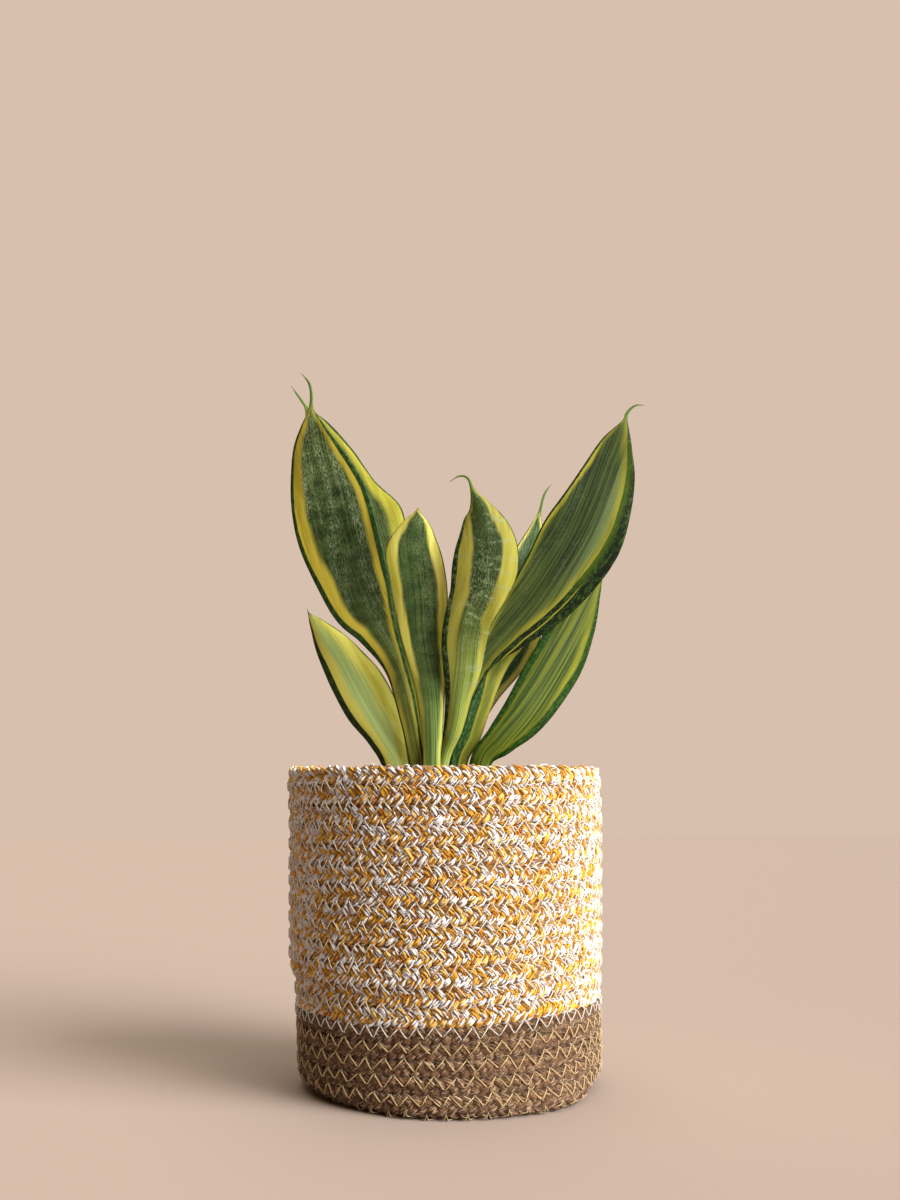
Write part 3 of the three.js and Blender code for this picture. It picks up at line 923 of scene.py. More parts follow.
            (191, 3.4, 0.2, 1.4, 4.6), (207, 3.8, 0.2, 3, 4), (224, 3.4, 0.2, 4, 3),
            (238, 1.5, 0.8, 2.2, 1.6), (249, 0.2, 0.2, 0.5, 0.5),
        ),
        tones=(
            (153, 0.1, 1, 0.5), (249, 0.1, 1, 0.2),
        ),
        finish=LeafFinish(
            margin_dark=srgb(26, 56, 14),
            margin_light=srgb(58, 92, 28),
            yellow_deep=srgb(98, 106, 26),
            yellow_light=srgb(140, 140, 38),
            petiole_dark=srgb(40, 62, 16),
            petiole_light=srgb(98, 108, 28),
            greening=0.0,
            lines=0.85,
            margin_blur=0.8,
            left_fade=2.0,
            right_fade=1.6,
        ),
    ),
    "leaf_9": Leaf(
        root=(-20, 3),
        facing=-6,
        curl=-0.14,
        rows=(
            (-26.5, 1, 153, 6.4, 7.2), (-34, 1.5, 166, 6.2, 13.4), (-41.5, 2.5, 179, 9, 16.2),
            (-48.5, 3.5, 191.5, 9, 16.1), (-54.5, 4.5, 202.5, 8, 12.9), (-60.5, 5.5, 212, 5.8, 9.7),
            (-65.5, 6, 220.5, 2.7, 5.1), (-68.7, 6.5, 226.8, 0.8, 0.8),
            (-69.5, 6.5, 228.9, 0.4, 0.4),
        ),
        stripes=(
            (153, 2.4, 2.6, 4, 0.5), (166, 3, 3.6, 6, 0.5), (179, 3.4, 4.6, 8.2, 0.5),
            (191, 3.3, 4.6, 8, 0.5), (202, 3, 4.2, 7.2, 0.5), (212, 2.2, 3, 4.6, 0.4),
            (220, 1.2, 1.6, 3.4, 0.3), (226, 0.2, 0.3, 0.4, 0.2),
        ),
        tones=(
            (153, 0.1, 1, 0.4), (226, 0.2, 1, 0.2),
        ),
        # Painted light: this leaf's yellow and petiole colours are paler than the other leaves', for the
        # stronger light on it, and glow paints its left band paler still.
        finish=LeafFinish(
            yellow_deep=srgb(178, 174, 56),
            yellow_light=srgb(220, 218, 104),
            petiole_dark=srgb(148, 178, 106),
            petiole_light=srgb(188, 212, 134),
            greening=0.0,
            left_fade=1.6,
            right_fade=3.0,
            painted_left_light=0.7,
        ),
    ),
}


@dataclass
class Foliage:
    """The nine leaves. Their shapes repeat the CAD's, with finer sections and rounded edges.

    A leaf is thick and curled over its lowest foot_rows stations. Its width shrinks to tip_share over
    the last tip_length. Its edge starts to wave where the blade is as wide as the first of wavy_widths,
    and waves fully from the second. The spine takes its own colour where the blade narrows from the
    first to the second of spine_widths, between the two distances of spine_reach from the tip.
    """

    edge_thickness: float = 0.8
    blade_thickness: float = 2.6
    base_thickness: float = 3.4
    spine_thickness: float = 0.8
    thickening: float = 0.4
    edge_power: int = 10
    root_end_z: float = 106.0
    soil_top_z: float = 125.5
    foot_rows: float = 4.0
    foot_curl: float = 1.2
    tip_length: float = 6.0
    tip_share: float = 0.3
    tangent_reach: float = 0.25
    columns: int = 25
    ring_step: float = 2.1
    edge_wave: float = 0.35
    long_wave: float = 8.5
    short_wave: float = 5.1
    short_wave_share: float = 0.6
    wavy_widths: Span = (4.0, 12.0)
    spine_widths: Span = (3.0, 1.6)
    spine_reach: Span = (60.0, 20.0)
    seed_step: float = 5.3

    def stations(self, leaf: Leaf) -> np.ndarray:
        """A leaf's stations from its end in the soil.

        Args:
            leaf: The leaf.

        Returns:
            Two stations in the soil, and then the leaf's own.
        """
        left, right = leaf.rows[0][3:]
        foot = [(*leaf.root, z, left, right) for z in (self.root_end_z, self.soil_top_z)]
        return np.array([*foot, *leaf.rows])

    def row_at(self, rows: np.ndarray, place: np.ndarray) -> np.ndarray:
        """The rows at places counted in stations, on a smooth curve through them.

        Args:
            rows: The stations.
            place: Where to read them.

        Returns:
            One row for each place.
        """
        last = len(rows) - 1
        i = np.minimum(np.floor(place).astype(int), last - 1)
        a, b, c, d = (rows[np.clip(i + k, 0, last)] for k in (-1, 0, 1, 2))
        t = (place - i)[:, None]
        return b + ((c - a) * t + (2 * a - 5 * b + 4 * c - d) * t**2 + (3 * b - a - 3 * c + d) * t**3) / 2

    def places(self, rows: np.ndarray) -> np.ndarray:
        """Where the rings of a leaf stand, about one ring step apart.

        Args:
            rows: The stations.

        Returns:
            The places, counted in stations.
        """
        spans = np.linalg.norm(np.diff(rows[:, :3], axis=0), axis=1)
        steps = [max(2, round(span / self.ring_step)) for span in spans[1:]]
        parts = [1 + k + np.arange(n) / n for k, n in enumerate(steps)]
        return np.concatenate([[0.0], *parts, [len(rows) - 1.0]])

    def axes(self, rows: np.ndarray, place: np.ndarray, facing: float) -> tuple[np.ndarray, np.ndarray]:
        """The ways that a leaf's sections lie.

        Args:
            rows: The stations.
            place: Where the sections stand, counted in stations.
            facing: How far the leaf turns its front to the right, in degrees.

        Returns:
            The way to the right and the way out of the front at each place.
        """
        in_soil = place < 1
        fore = np.where(in_soil, 1.0, np.minimum(len(rows) - 1, place + self.tangent_reach))
        aft = np.where(in_soil, 0.0, place - self.tangent_reach)
        along = unit(self.row_at(rows, fore)[:, :3] - self.row_at(rows, aft)[:, :3])
        turn = math.radians(facing)
        side = unit(np.cross(along, (math.sin(turn), -math.cos(turn), 0.0)))
        return side, np.cross(side, along)

    def shape(self, leaf: Leaf, seed: int) -> Shape:
        """One leaf's closed skin with the values that its finish reads.

        Args:
            leaf: The leaf.
            seed: Its own number, which sets its waves and streaks apart.

        Returns:
            The shape.
        """
        rows = self.stations(leaf)
        place = self.places(rows)
        here = self.row_at(rows, place)
        side, out = self.axes(rows, place, leaf.facing)
        widths = here[:, 3:]
        low = 1 - np.clip((place - 1) / self.foot_rows, 0, 1)
        full = self.blade_thickness + (self.base_thickness - self.blade_thickness) * low
        middle = np.minimum(full, self.spine_thickness + self.thickening * widths.min(axis=1))[:, None]
        curl = leaf.curl * (1 + self.foot_curl * low)[:, None]
        travel = travelled(here[:, :3])[:, None]
        to_tip = (travel[-1] - travel)[:, 0]
        taper = self.tip_share + (1 - self.tip_share) * rise(0, self.tip_length, to_tip)

        even = np.linspace(-1, 1, self.columns)
        v = 0.5 * even + 0.5 * np.sin(even * math.pi / 2)
        v = np.concatenate([v, v[-2:0:-1]])
        face = np.concatenate([np.ones(self.columns), -np.ones(self.columns - 2)])
        half = np.where(v < 0, widths[:, :1], widths[:, 1:]) * taper[:, None]
        across = v * half
        edge = self.edge_thickness
        rounding = np.sqrt(np.clip(1 - np.abs(v) ** self.edge_power, 0, 1))
        thick = (edge + (middle - edge) * (1 - v**2)) * rounding * taper[:, None]
        wave = np.sin(travel / self.long_wave + seed + np.sign(v))
        wave = wave + self.short_wave_share * np.sin(travel / self.short_wave + 2 * seed)
        wavy = self.edge_wave * rise(*self.wavy_widths, widths.sum(axis=1))[:, None]
        lift = curl * half * v**2 + wavy * wave * np.abs(v) ** 3 + face * thick / 2
        shape = tube(here[:, None, :3] + side[:, None] * across[..., None] + out[:, None] * lift[..., None])

        spine = rise(*self.spine_widths, widths.sum(axis=1)) * rise(*self.spine_reach, to_tip)
        tone = np.column_stack([self.read(leaf.tones, here[:, 2]), spine])
        bounds = self.bounds(self.read(leaf.stripes, here[:, 2]), widths * taper[:, None])
        shape.at_points["blade"] = with_ends(stacked(across, travel, seed * self.seed_step))
        shape.at_points["stripes"] = with_ends(np.repeat(bounds[:, None], len(v), axis=1))
        shape.at_points["tone"] = with_ends(np.repeat(tone[:, None], len(v), axis=1))
        return shape

    @staticmethod
    def bounds(stripes: np.ndarray, widths: np.ndarray) -> np.ndarray:
        """Where a leaf's stripes meet, measured from its midrib.

        Args:
            stripes: The widths of the margins and yellow bands at each ring.
            widths: The leaf's widths to the left and right there.

        Returns:
            The four places at each ring, from the left.
        """
        margin, band, right_band, right_margin = stripes.T
        first, fourth = margin - widths[:, 0], widths[:, 1] - right_margin
        return stacked(first, first + band, fourth - right_band, fourth)

    @staticmethod
    def read(table: Sequence[Sequence[float]], z: np.ndarray) -> np.ndarray:
        """Reads a leaf's table at heights.

        Args:
            table: Rows that start with a height.
            z: The heights.

        Returns:
            The other columns at each height.
        """
        values = np.array(table)
        return np.stack([np.interp(z, values[:, 0], column) for column in values[:, 1:].T], axis=-1)

    def build(self) -> None:
        """Makes every leaf and dresses it."""
        for seed, (name, leaf) in enumerate(LEAVES.items(), start=1):
            skin = leaf.finish.make(f"{name}_skin")
            make_object(f"{name}_blade", self.shape(leaf, seed), skin, Slot.LEAF, name)


# Basket


@dataclass(frozen=True)
class CottonFinish:
    """Dyed cotton: each yarn is amber or white, soft and dull, with fine fibres along it. The core and the
    sheet between the strands take a darker brown, as painted shade in the gaps.
    """

    # Painted shade: core is the darker brown that fills the gaps between the yarns and the strands.
    core: Colour = srgb(150, 108, 58)
    rust: Colour = srgb(204, 122, 30)
    amber_dark: Colour = srgb(206, 142, 32)
    amber_mid: Colour = srgb(236, 178, 50)
    amber_light: Colour = srgb(242, 202, 104)
    white_dark: Colour = srgb(212, 211, 212)
    white_mid: Colour = srgb(238, 237, 239)
    white_light: Colour = srgb(246, 246, 248)
    fibre_relief: float = 0.00014

    def make(self) -> bpy.types.Material:
        """Makes the material of the braid.

        Returns:
            The cotton material.
        """
        g = Graph("cotton_yarn")
        around, along, seed = g.split(g.layer("grain", "Vector"))
        # dye carries the yarns' dye and, below 0.12, the core's painted shade.
        dye_and_painted_shade = g.layer("dye_and_painted_shade", "Fac")
        fibre = g.noise(around * 3.2 + along * 0.5, along * 0.55, seed, detail=3)
        fluff = g.noise(around * 0.9, along * 0.9, seed + 5.0, detail=2)
        stops = [
            (0.0, self.core),
            (0.12, self.core),
            (0.15, self.rust),
            (0.17, self.rust),
            (0.2, self.amber_dark),
            (0.32, self.amber_mid),
            (0.48, self.amber_light),
            (0.52, self.white_dark),
            (0.72, self.white_mid),
            (1.0, self.white_light),
        ]
        yarn = g.ramp(dye_and_painted_shade, stops)
        shade = (fibre * 0.6 + fluff * 0.4).smooth(0.25, 0.7, 0.78, 1.06)
        grey = g.wire("ShaderNodeCombineColor", {0: shade, 1: shade, 2: shade})
        return g.finish(
            {
                "Base Color": g.mix(1.0, yarn, grey, "MULTIPLY"),
                "Roughness": fluff.smooth(0.2, 0.8, 0.82, 0.96),
                "Specular IOR Level": 0.2,
                "Sheen Weight": 0.25,
                "Sheen Roughness": 0.5,
                "Normal": g.bump(fibre, self.fibre_relief),
            }
        )


@dataclass(frozen=True)
class JuteFinish:
    """Raw jute: brown to straw fibres in long streaks, with a few pale hairs. Its darkest tone, shadow, is
    painted shade, most of all on the core and the sheet between the strands.
    """

    # Painted shade: shadow is the darkest tone of the ramp.
    shadow: Colour = srgb(58, 38, 24)
    body: Colour = srgb(110, 84, 60)
    straw: Colour = srgb(196, 168, 134)
    pale: Colour = srgb(236, 216, 186)
    rust: Colour = srgb(140, 82, 46)
    fibre_relief: float = 0.00026

    def make(self) -> bpy.types.Material:
        """Makes the material of the braid.

        Returns:
            The jute material.
        """
        g = Graph("jute_fibre")
        around, along, seed = g.split(g.layer("grain", "Vector"))
        # dye carries the fibres' tone and the painted shade of the core and the sheet.
        dye_and_painted_shade = g.layer("dye_and_painted_shade", "Fac")
        fibre = g.noise(around * 3.4 + along * 0.7, along * 0.32, seed, detail=4, rough=0.6)
        clump = g.noise(around * 1.1 + along * 0.3, along * 0.22, seed + 9.0, detail=2)
        tone = fibre * 0.8 + clump * 0.3 + dye_and_painted_shade * 0.36 - 0.24
        stops = [(0.22, self.shadow), (0.46, self.body), (0.66, self.straw), (0.85, self.pale)]
        reddish = g.noise(around * 1.6, along * 0.4, seed + 14.0, detail=2).smooth(0.5, 0.68) * 0.45
        return g.finish(
            {
                "Base Color": g.mix(reddish, g.ramp(tone, stops), self.rust),
                "Roughness": clump.smooth(0.2, 0.8, 0.84, 0.97),
                "Specular IOR Level": 0.2,
                "Sheen Weight": 0.15,
                "Sheen Roughness": 0.5,
                "Normal": g.bump(fibre * 0.8 + clump * 0.4, self.fibre_relief),
            }
        )


@dataclass(frozen=True)
class ThreadFinish:
    """Sewing thread: two plies that twist round each other."""

    name: str
    dark: Colour
    light: Colour
    twist_relief: float = 0.0001

    def make(self) -> bpy.types.Material:
        """Makes the material of the seams.

        Returns:
            The thread material.
        """
        g = Graph(self.name)
        around, along, seed = g.split(g.layer("grain", "Vector"))
        ply = (around * 3.5 + along * 7.0).sine() * 0.5 + 0.5
        wear = g.noise(around * 0.6, along * 0.3, seed, detail=2)
        return g.finish(
            {
                "Base Color": g.mix(ply * 0.45 + wear * 0.55, self.dark, self.light),
                "Roughness": wear.smooth(0.2, 0.8, 0.62, 0.8),
                "Specular IOR Level": 0.3,
                "Sheen Weight": 0.2,
                "Sheen Roughness": 0.4,
                "Normal": g.bump(ply, self.twist_relief),
            }
        )


@dataclass
class WallForm:
    """The basket's middle surface, from the centre of its floor out and up to the rim.

    The spans that end in degrees are angles from the front over which something sets in, and those that
    end in z are heights. The wall steps to the left between step_from_z and step_to_z, except for
    lower_shift of that step, which lies below, and its rim leans a little further. The foot's swelling
    takes in the part of the floor that flare_floor names, as shares of its radius. The rows stray
    upwards on both sides of the front.
    """

    height: float = 152.0
    cotton_radius: float = 75.0
    jute_radius: float = 73.4
    half_thickness: float = 3.0
    reach_below: float = 65.9
    front_corner: float = 1.2
    left_corner: float = 7.5
    right_corner: float = 8.5
    left_corner_degrees: Span = (25.0, 60.0)
    right_corner_degrees: Span = (40.0, 75.0)
    back_corner_degrees: Span = (110.0, 180.0)
    step_left: float = 2.0
    lower_shift: float = 0.4
    lean_left: float = 0.9
    shift_from_z: float = 12.0
    step_from_z: float = 49.0
    step_to_z: float = 60.0
    lean_from_z: float = 126.0
    front_flare: float = 6.8
    flare_middle: float = 17.0
    flare_degrees: Span = (20.0, 56.0)
    flare_height: float = 24.0
    flare_floor: Span = (0.5, 1.0)
    right_drift: float = 2.4
    right_drift_degrees: Span = (8.0, 45.0)
    left_drift: float = 1.6
    left_drift_degrees: Span = (20.0, 65.0)
    drift_end_degrees: Span = (100.0, 170.0)
    drift_start_z: Span = (10.0, 36.0)
    drift_end_z: Span = (45.0, 105.0)

    def reach_of(self, z: float) -> float:
        """How far along the profile a height on the wall lies."""
        return self.reach_below + z

    @staticmethod
    def degrees(turns: np.ndarray) -> np.ndarray:
        """The angle from the front at a count of turns, less than zero on the left."""
        return 360 * (np.mod(turns, 1) - 0.5)

    def corner(self, turns: np.ndarray) -> np.ndarray:
        """The radius of the foot's rounding: tight at the front, softer on the left and right.

        Args:
            turns: How many turns round.

        Returns:
            The radius at each of them.
        """
        degrees = self.degrees(turns)
        left = (self.left_corner - self.front_corner) * rise(*self.left_corner_degrees, -degrees)
        right = (self.right_corner - self.front_corner) * rise(*self.right_corner_degrees, degrees)
        return self.front_corner + (left + right) * (1 - rise(*self.back_corner_degrees, np.abs(degrees)))

    def flare(self, turns: np.ndarray) -> np.ndarray:
        """How far the foot swells out: only at the front, and most a little to the right."""
        aside = np.abs(self.degrees(turns) - self.flare_middle)
        return self.front_flare * (1 - rise(*self.flare_degrees, aside))

    def aside(self, z: np.ndarray) -> np.ndarray:
        """How far the wall stands to the left at heights, as a number below zero.

        Args:
            z: The heights.

        Returns:
            The shift along X.
        """
        lower = self.lower_shift * rise(self.shift_from_z, self.step_from_z, z)
        upper = (1 - self.lower_shift) * rise(self.step_from_z, self.step_to_z, z)
        return -self.step_left * (lower + upper) - self.lean_left * rise(self.lean_from_z, self.height, z)

    def drift(self, turns: np.ndarray, z: np.ndarray) -> np.ndarray:
        """How far the hand-sewn rows stray upwards on the right and left of the front.

        Args:
            turns: How many turns round.
            z: The heights there.

        Returns:
            The distance at each place.
        """
        degrees = self.degrees(turns)
        right = self.right_drift * rise(*self.right_drift_degrees, degrees)
        left = self.left_drift * rise(*self.left_drift_degrees, -degrees)
        front = 1 - rise(*self.drift_end_degrees, np.abs(degrees))
        return (right + left) * front * rise(*self.drift_start_z, z) * (1 - rise(*self.drift_end_z, z))

    def lay(self, reach: np.ndarray, turns: np.ndarray) -> tuple[np.ndarray, np.ndarray, np.ndarray]:
        """Places on the middle surface.

        Args:
            reach: How far along the profile, from the floor's centre.
            turns: How many turns round, from the back by way of the left side.

        Returns:
            The points, the way up the profile and the way out at each of them.
        """
        corner = self.corner(turns)
        wall_start = self.reach_of(self.half_thickness) + corner
        floor_end = wall_start - corner * math.pi / 2
        floor_share = (self.jute_radius - self.half_thickness - corner) / floor_end
        bend = np.clip((reach - floor_end) / corner, 0, math.pi / 2)
        radius = np.minimum(reach, floor_end) * floor_share + corner * np.sin(bend)
        z = self.half_thickness + corner * (1 - np.cos(bend)) + np.maximum(reach - wall_start, 0)
        stepped = rise(self.step_from_z, self.step_to_z, z)
        radius = radius + (self.cotton_radius - self.jute_radius) * stepped
        swelling = rise(*self.flare_floor, reach / floor_end) * (1 - rise(0, self.flare_height, z))
        radius = radius + self.flare(turns) * swelling
        angle = math.pi / 2 + 2 * math.pi * turns
        out = stacked(np.cos(angle), np.sin(angle), 0.0)
        up = np.array([0.0, 0.0, 1.0])
        points = out * radius[:, None] + up * (z + self.drift(turns, z))[:, None]
        points[:, 0] += self.aside(z)
        rising, level = np.sin(bend)[:, None], np.cos(bend)[:, None]
        return points, out * level + up * rising, out * rising - up * level


@dataclass
class Row:
    """The line that a braid follows round the basket.

    reach gives the profile length at a count of turns; the front is at each half turn.
    """

    form: WallForm
    first_turn: float
    last_turn: float
    reach: Callable[[np.ndarray], np.ndarray]
    table_size: int = 60000

    def __post_init__(self) -> None:
        """Measures the line."""
        self.turns = np.linspace(self.first_turn, self.last_turn, self.table_size)
        self.travel = travelled(self.form.lay(self.reach(self.turns), self.turns)[0])

    def turns_at(self, travel: np.ndarray) -> np.ndarray:
        """The turns at lengths travelled from the line's start."""
        return np.interp(travel, self.travel, self.turns)

    def travel_at(self, turns: float) -> float:
        """The length travelled at a count of turns."""
        return float(np.interp(turns, self.turns, self.travel))

    def stops(self, step: float) -> np.ndarray:
        """Lengths travelled at points spread evenly along the line, a little less than a step apart."""
        length = self.travel[-1]
        return np.linspace(0, length, int(length / step) + 2)


@dataclass(frozen=True)
class Yarn:
    """The short yarns that lie side by side on each crossing of a plait.

    reach is how far a yarn reaches each way from the middle of its crossing, in half periods, and error
    how far that and its middle stray. stray and tilt set it aside and askew. Its middle lies at crown
    of the strand's half thickness, with lift as its error, and its ends sink by droop. Where it gives
    way to another yarn it dips over a part of its length that dip_sharpness narrows. girth_error and
    thinning change its radius.
    """

    abreast: int
    spacing: float
    radius: float
    lift: float
    sides: int = 3
    stops: int = 5
    stray: float = 0.3
    tilt: float = 1.5
    reach: float = 0.38
    error: float = 0.045
    crown: float = 0.74
    droop: float = 0.7
    dip_sharpness: float = 2.2
    girth_error: float = 0.16
    thinning: float = 0.5
    steepest: float = 0.9


@dataclass(frozen=True)
class Braid:
    """A flat plait of three strands.

    A yarn's colour is a number from yarn_shade to last_shade, and white_share of the yarns have
    white_step more. The core's runs from 0 to painted_core_shade, mostly below the yarns', as painted shade
    between them. alike is how often a yarn takes after the one beside it, change how often one gives
    way to another yarn half way, and dip how deep it sinks there, in millimetres.
    """

    pitch: float
    row_width: float
    period: float
    half_thick: float
    strand_share: float
    white_share: float
    yarn: Yarn
    depth: float = 1.1
    unevenness: float = 0.3
    core_sides: int = 6
    core_rings: int = 5
    core_thick: float = 1.2
    painted_core_shade: float = 0.1
    yarn_shade: float = 0.174
    last_shade: float = 0.48
    white_step: float = 0.5
    alike: float = 0.4
    change: float = 0.6
    dip: float = 0.45

    @property
    def half_width(self) -> float:
        """Half the width of one strand."""
        return self.strand_share * self.row_width / 2


@dataclass
class Strand:
    """One strand of a plait: a core that fills it, and yarns that show on its crossings."""

    braid: Braid
    row: Row
    number: int
    width: Callable[[np.ndarray], np.ndarray]
    rng: np.random.Generator
    grain_start: float = 4.1
    grain_step: float = 31.7
    least_thickness: float = 0.4
    outer_crossing: float = 0.75
    inner_crossing: float = 0.25

    def __post_init__(self) -> None:
        """Settles the strand's small errors, which change at each crossing."""
        ends = self.phase_at(self.row.travel[[0, -1]]) / math.pi
        self.knots = np.arange(math.floor(ends[0]) - 1, math.ceil(ends[1]) + 3)
        self.errors = self.braid.unevenness * self.rng.uniform(-1, 1, (3, len(self.knots)))

    def phase_at(self, travel: np.ndarray) -> np.ndarray:
        """The plait's phase at lengths travelled along the row."""
        return 2 * math.pi * (travel / self.braid.period + self.number / 3)

    def error(self, kind: int, phase: np.ndarray) -> np.ndarray:
        """One of the strand's small errors at phases: 0 up, 1 outward, 2 in size."""
        return np.interp(phase / math.pi, self.knots, self.errors[kind])

    def middle(self, phase: np.ndarray) -> tuple[np.ndarray, np.ndarray, np.ndarray]:
        """The strand's middle at phases.

        Args:
            phase: The phases.

        Returns:
            The points, the way out of the wall and the plait's width there as a share of the full one.
        """
        braid = self.braid
        turns = self.row.turns_at(braid.period * (phase / (2 * math.pi) - self.number / 3))
        points, up, outward = self.row.form.lay(self.row.reach(turns), turns)
        share = self.width(turns)
        swing = braid.row_width / 2 - braid.half_width
        across = swing * np.sin(phase) * share + self.error(0, phase)
        out = -braid.depth * np.sin(2 * phase) + self.error(1, phase)
        return points + up * across[:, None] + outward * out[:, None], outward, share

    def core(self) -> Shape:
        """The strand's filling, whose colour numbers lie mostly below the yarns', as painted shade between
        them.

        Returns:
            The shape.
        """
        braid = self.braid
        travel = self.row.stops(braid.period / braid.core_rings)
        phase = self.phase_at(travel)
        centres, outward, share = self.middle(phase)
        size = 1 + self.error(2, phase)
        angle = circle(braid.core_sides)
        flattened = self.least_thickness + (1 - self.least_thickness) * share
        wide = braid.half_width * np.cos(angle) * (size * share)[:, None]
        thick = braid.core_thick * np.sin(angle) * (size * flattened)[:, None]
        shape = tube(swept(centres, outward, np.stack([wide, thick], axis=-1)))
        own = self.grain_step * self.number + self.grain_start
        shape.at_points["grain"] = with_ends(stacked(angle * braid.half_thick, travel[:, None], own))
        # Painted shade: the core's colour numbers lie mostly below the yarns'.
        shape.at_faces["dye_and_painted_shade"] = self.rng.uniform(0, braid.painted_core_shade, len(shape.faces))
        return shape

    def yarns(self, low: float, high: float, outer: bool) -> Shape:
        """The yarns on the crossings that show on one face of the wall.

        Args:
            low: The length travelled where they start.
            high: The length travelled where they end.
            outer: Whether the face is the outer one.

        Returns:
            The shape.
        """
        braid, yarn, rng = self.braid, self.braid.yarn, self.rng
        first, last = (self.phase_at(travel) / math.pi for travel in (low, high))
        crossing = np.arange(math.ceil(first), math.floor(last))
        middle = math.pi * (crossing + (self.outer_crossing if outer else self.inner_crossing))
        many = (len(crossing), yarn.abreast)
        s = np.linspace(-1, 1, yarn.stops)
        reach = math.pi * (yarn.reach + yarn.error * rng.standard_normal(many))
        start = middle[:, None] + math.pi * yarn.error * rng.standard_normal(many)
        phase = start[..., None] + reach[..., None] * s
        centres, outward, share = (v.reshape(*phase.shape, -1) for v in self.middle(phase.ravel()))
        wide = unit(np.cross(outward, np.gradient(centres, axis=2)))
        aside, askew = (rng.standard_normal((*many, 1)) for _ in range(2))
        place = (np.arange(yarn.abreast) - (yarn.abreast - 1) / 2) * yarn.spacing
        aside = place[:, None] + yarn.stray * (aside + yarn.tilt * askew * s)
        bow = np.sqrt(1 - np.clip(aside / braid.half_width, -yarn.steepest, yarn.steepest) ** 2)
        over = braid.half_thick * bow * yarn.crown + yarn.lift * rng.standard_normal((*many, 1))
        over = over - yarn.droop * s**4 - braid.dip * np.clip(1 - yarn.dip_sharpness * np.abs(s), 0, 1)
        over = over * (1.0 if outer else -1.0)
        line = centres + wide * (aside[..., None] * share) + outward * over[..., None]
        line = line.reshape(-1, yarn.stops, 3)
        girth = 1 + yarn.girth_error * rng.standard_normal((*many, 1))
        radius = yarn.radius * girth * (1 - yarn.thinning * s**4)
        return self.bars(line, outward.reshape(line.shape), radius.reshape(-1, yarn.stops))

    def bars(self, line: np.ndarray, outward: np.ndarray, radius: np.ndarray) -> Shape:
        """Round bars along many short lines.

        Args:
            line: An array of bar, stop and coordinate.
            outward: The way out at each stop.
            radius: The radius at each stop.

        Returns:
            The shape, with a colour number for each half of each bar.
        """
        bars, stops = radius.shape
        sides = self.braid.yarn.sides
        along = unit(np.gradient(line, axis=1))
        wide = unit(np.cross(outward, along))
        thin = np.cross(along, wide)
        angle = circle(sides, math.pi / 2)
        section = wide[:, :, None] * np.cos(angle)[:, None] + thin[:, :, None] * np.sin(angle)[:, None]
        points = line[:, :, None] + section * radius[..., None, None]
        here = np.arange(stops * sides).reshape(stops, sides)
        skin = skin_faces(here)
        ends = np.full((2, 4), -1)
        ends[0, :sides], ends[1, :sides] = here[0, ::-1], here[-1]
        faces = np.concatenate([skin, ends])
        starts = np.arange(bars)[:, None, None] * stops * sides
        faces = np.where(faces < 0, -1, faces + starts).reshape(-1, 4)
        shape = Shape(points.reshape(-1, 3), faces)
        length = np.linalg.norm(np.diff(line, axis=1), axis=2).sum(axis=1)
        way = length[:, None, None] * np.linspace(0, 1, stops)[:, None]
        own = self.rng.uniform(0, GRAIN_RANGE, bars)[:, None, None]
        shape.at_points["grain"] = stacked(angle * self.braid.yarn.radius, way, own).reshape(-1, 3)
        shade = self.shades(bars)
        other = np.where(self.rng.random(bars) < self.braid.change, self.shades(bars), shade)
        halves = np.repeat(np.stack([shade, other], axis=-1), len(skin) // 2, axis=1)
        shape.at_faces["dye_and_painted_shade"] = np.concatenate([halves, shade[:, None], other[:, None]], axis=1).ravel()
        return shape

    def shades(self, count: int) -> np.ndarray:
        """Colour numbers for yarns that lie side by side.

        Args:
            count: How many yarns there are.

        Returns:
            One number for each.
        """
        braid = self.braid
        shade = self.rng.uniform(braid.yarn_shade, braid.last_shade, count)
        shade += braid.white_step * (self.rng.random(count) < braid.white_share)
        return np.where(self.rng.random(count) < braid.alike, np.roll(shade, 1), shade)


@dataclass(frozen=True)
class Seam:
    """A zigzag seam: thread that bridges two rows and dips in at each stitch.

    A stitch enters at the first of bridge, and the thread lies high from the second to the third, as
    shares of the way to the next.
    """

    stitch: float
    height: float
    radius: float
    out_high: float
    out_low: float
    sides: int = 4
    jitter: float = 0.12
    bridge: tuple[float, float, float] = (0.0, 0.16, 0.84)

    def sew(self, row: Row, offset: float, inside: bool, rng: np.random.Generator) -> Shape:
        """The thread along the upper edge of a row.

        Args:
            row: The row, whose reach is that of the seam.
            offset: How far the zigzag lies above the seam.
            inside: Whether it shows on the inner face.
            rng: Where the uneven stitches come from.

        Returns:
            The thread.
        """
        count = int(row.travel[-1] / (self.stitch / 2))
        corner = (np.arange(count) + self.jitter * rng.standard_normal(count)) * self.stitch / 2
        side = np.where(np.arange(count) % 2 == 0, 1.0, -1.0)
        high = side * self.height / 2 * (1 + self.jitter * rng.standard_normal(count)) + offset
        share = np.array(self.bridge)
        place = (corner[:-1, None] + share * np.diff(corner)[:, None]).ravel()
        above = (high[:-1, None] + share * np.diff(high)[:, None]).ravel()
        out = np.tile([self.out_low, self.out_high, self.out_high], count - 1)
        turn = row.turns_at(place)
        points, _, outward = row.form.lay(row.reach(turn) + above, turn)
        centres = points + outward * ((-1.0 if inside else 1.0) * out)[:, None]
        angle = circle(self.sides, math.pi / 4)
        section = self.radius * np.stack([np.cos(angle), np.sin(angle)], axis=-1)
        shape = tube(swept(centres, outward, section))
        length = travelled(centres)[:, None]
        grain = stacked(angle * self.radius, length, rng.uniform(0, GRAIN_RANGE))
        shape.at_points["grain"] = with_ends(grain)
        return shape


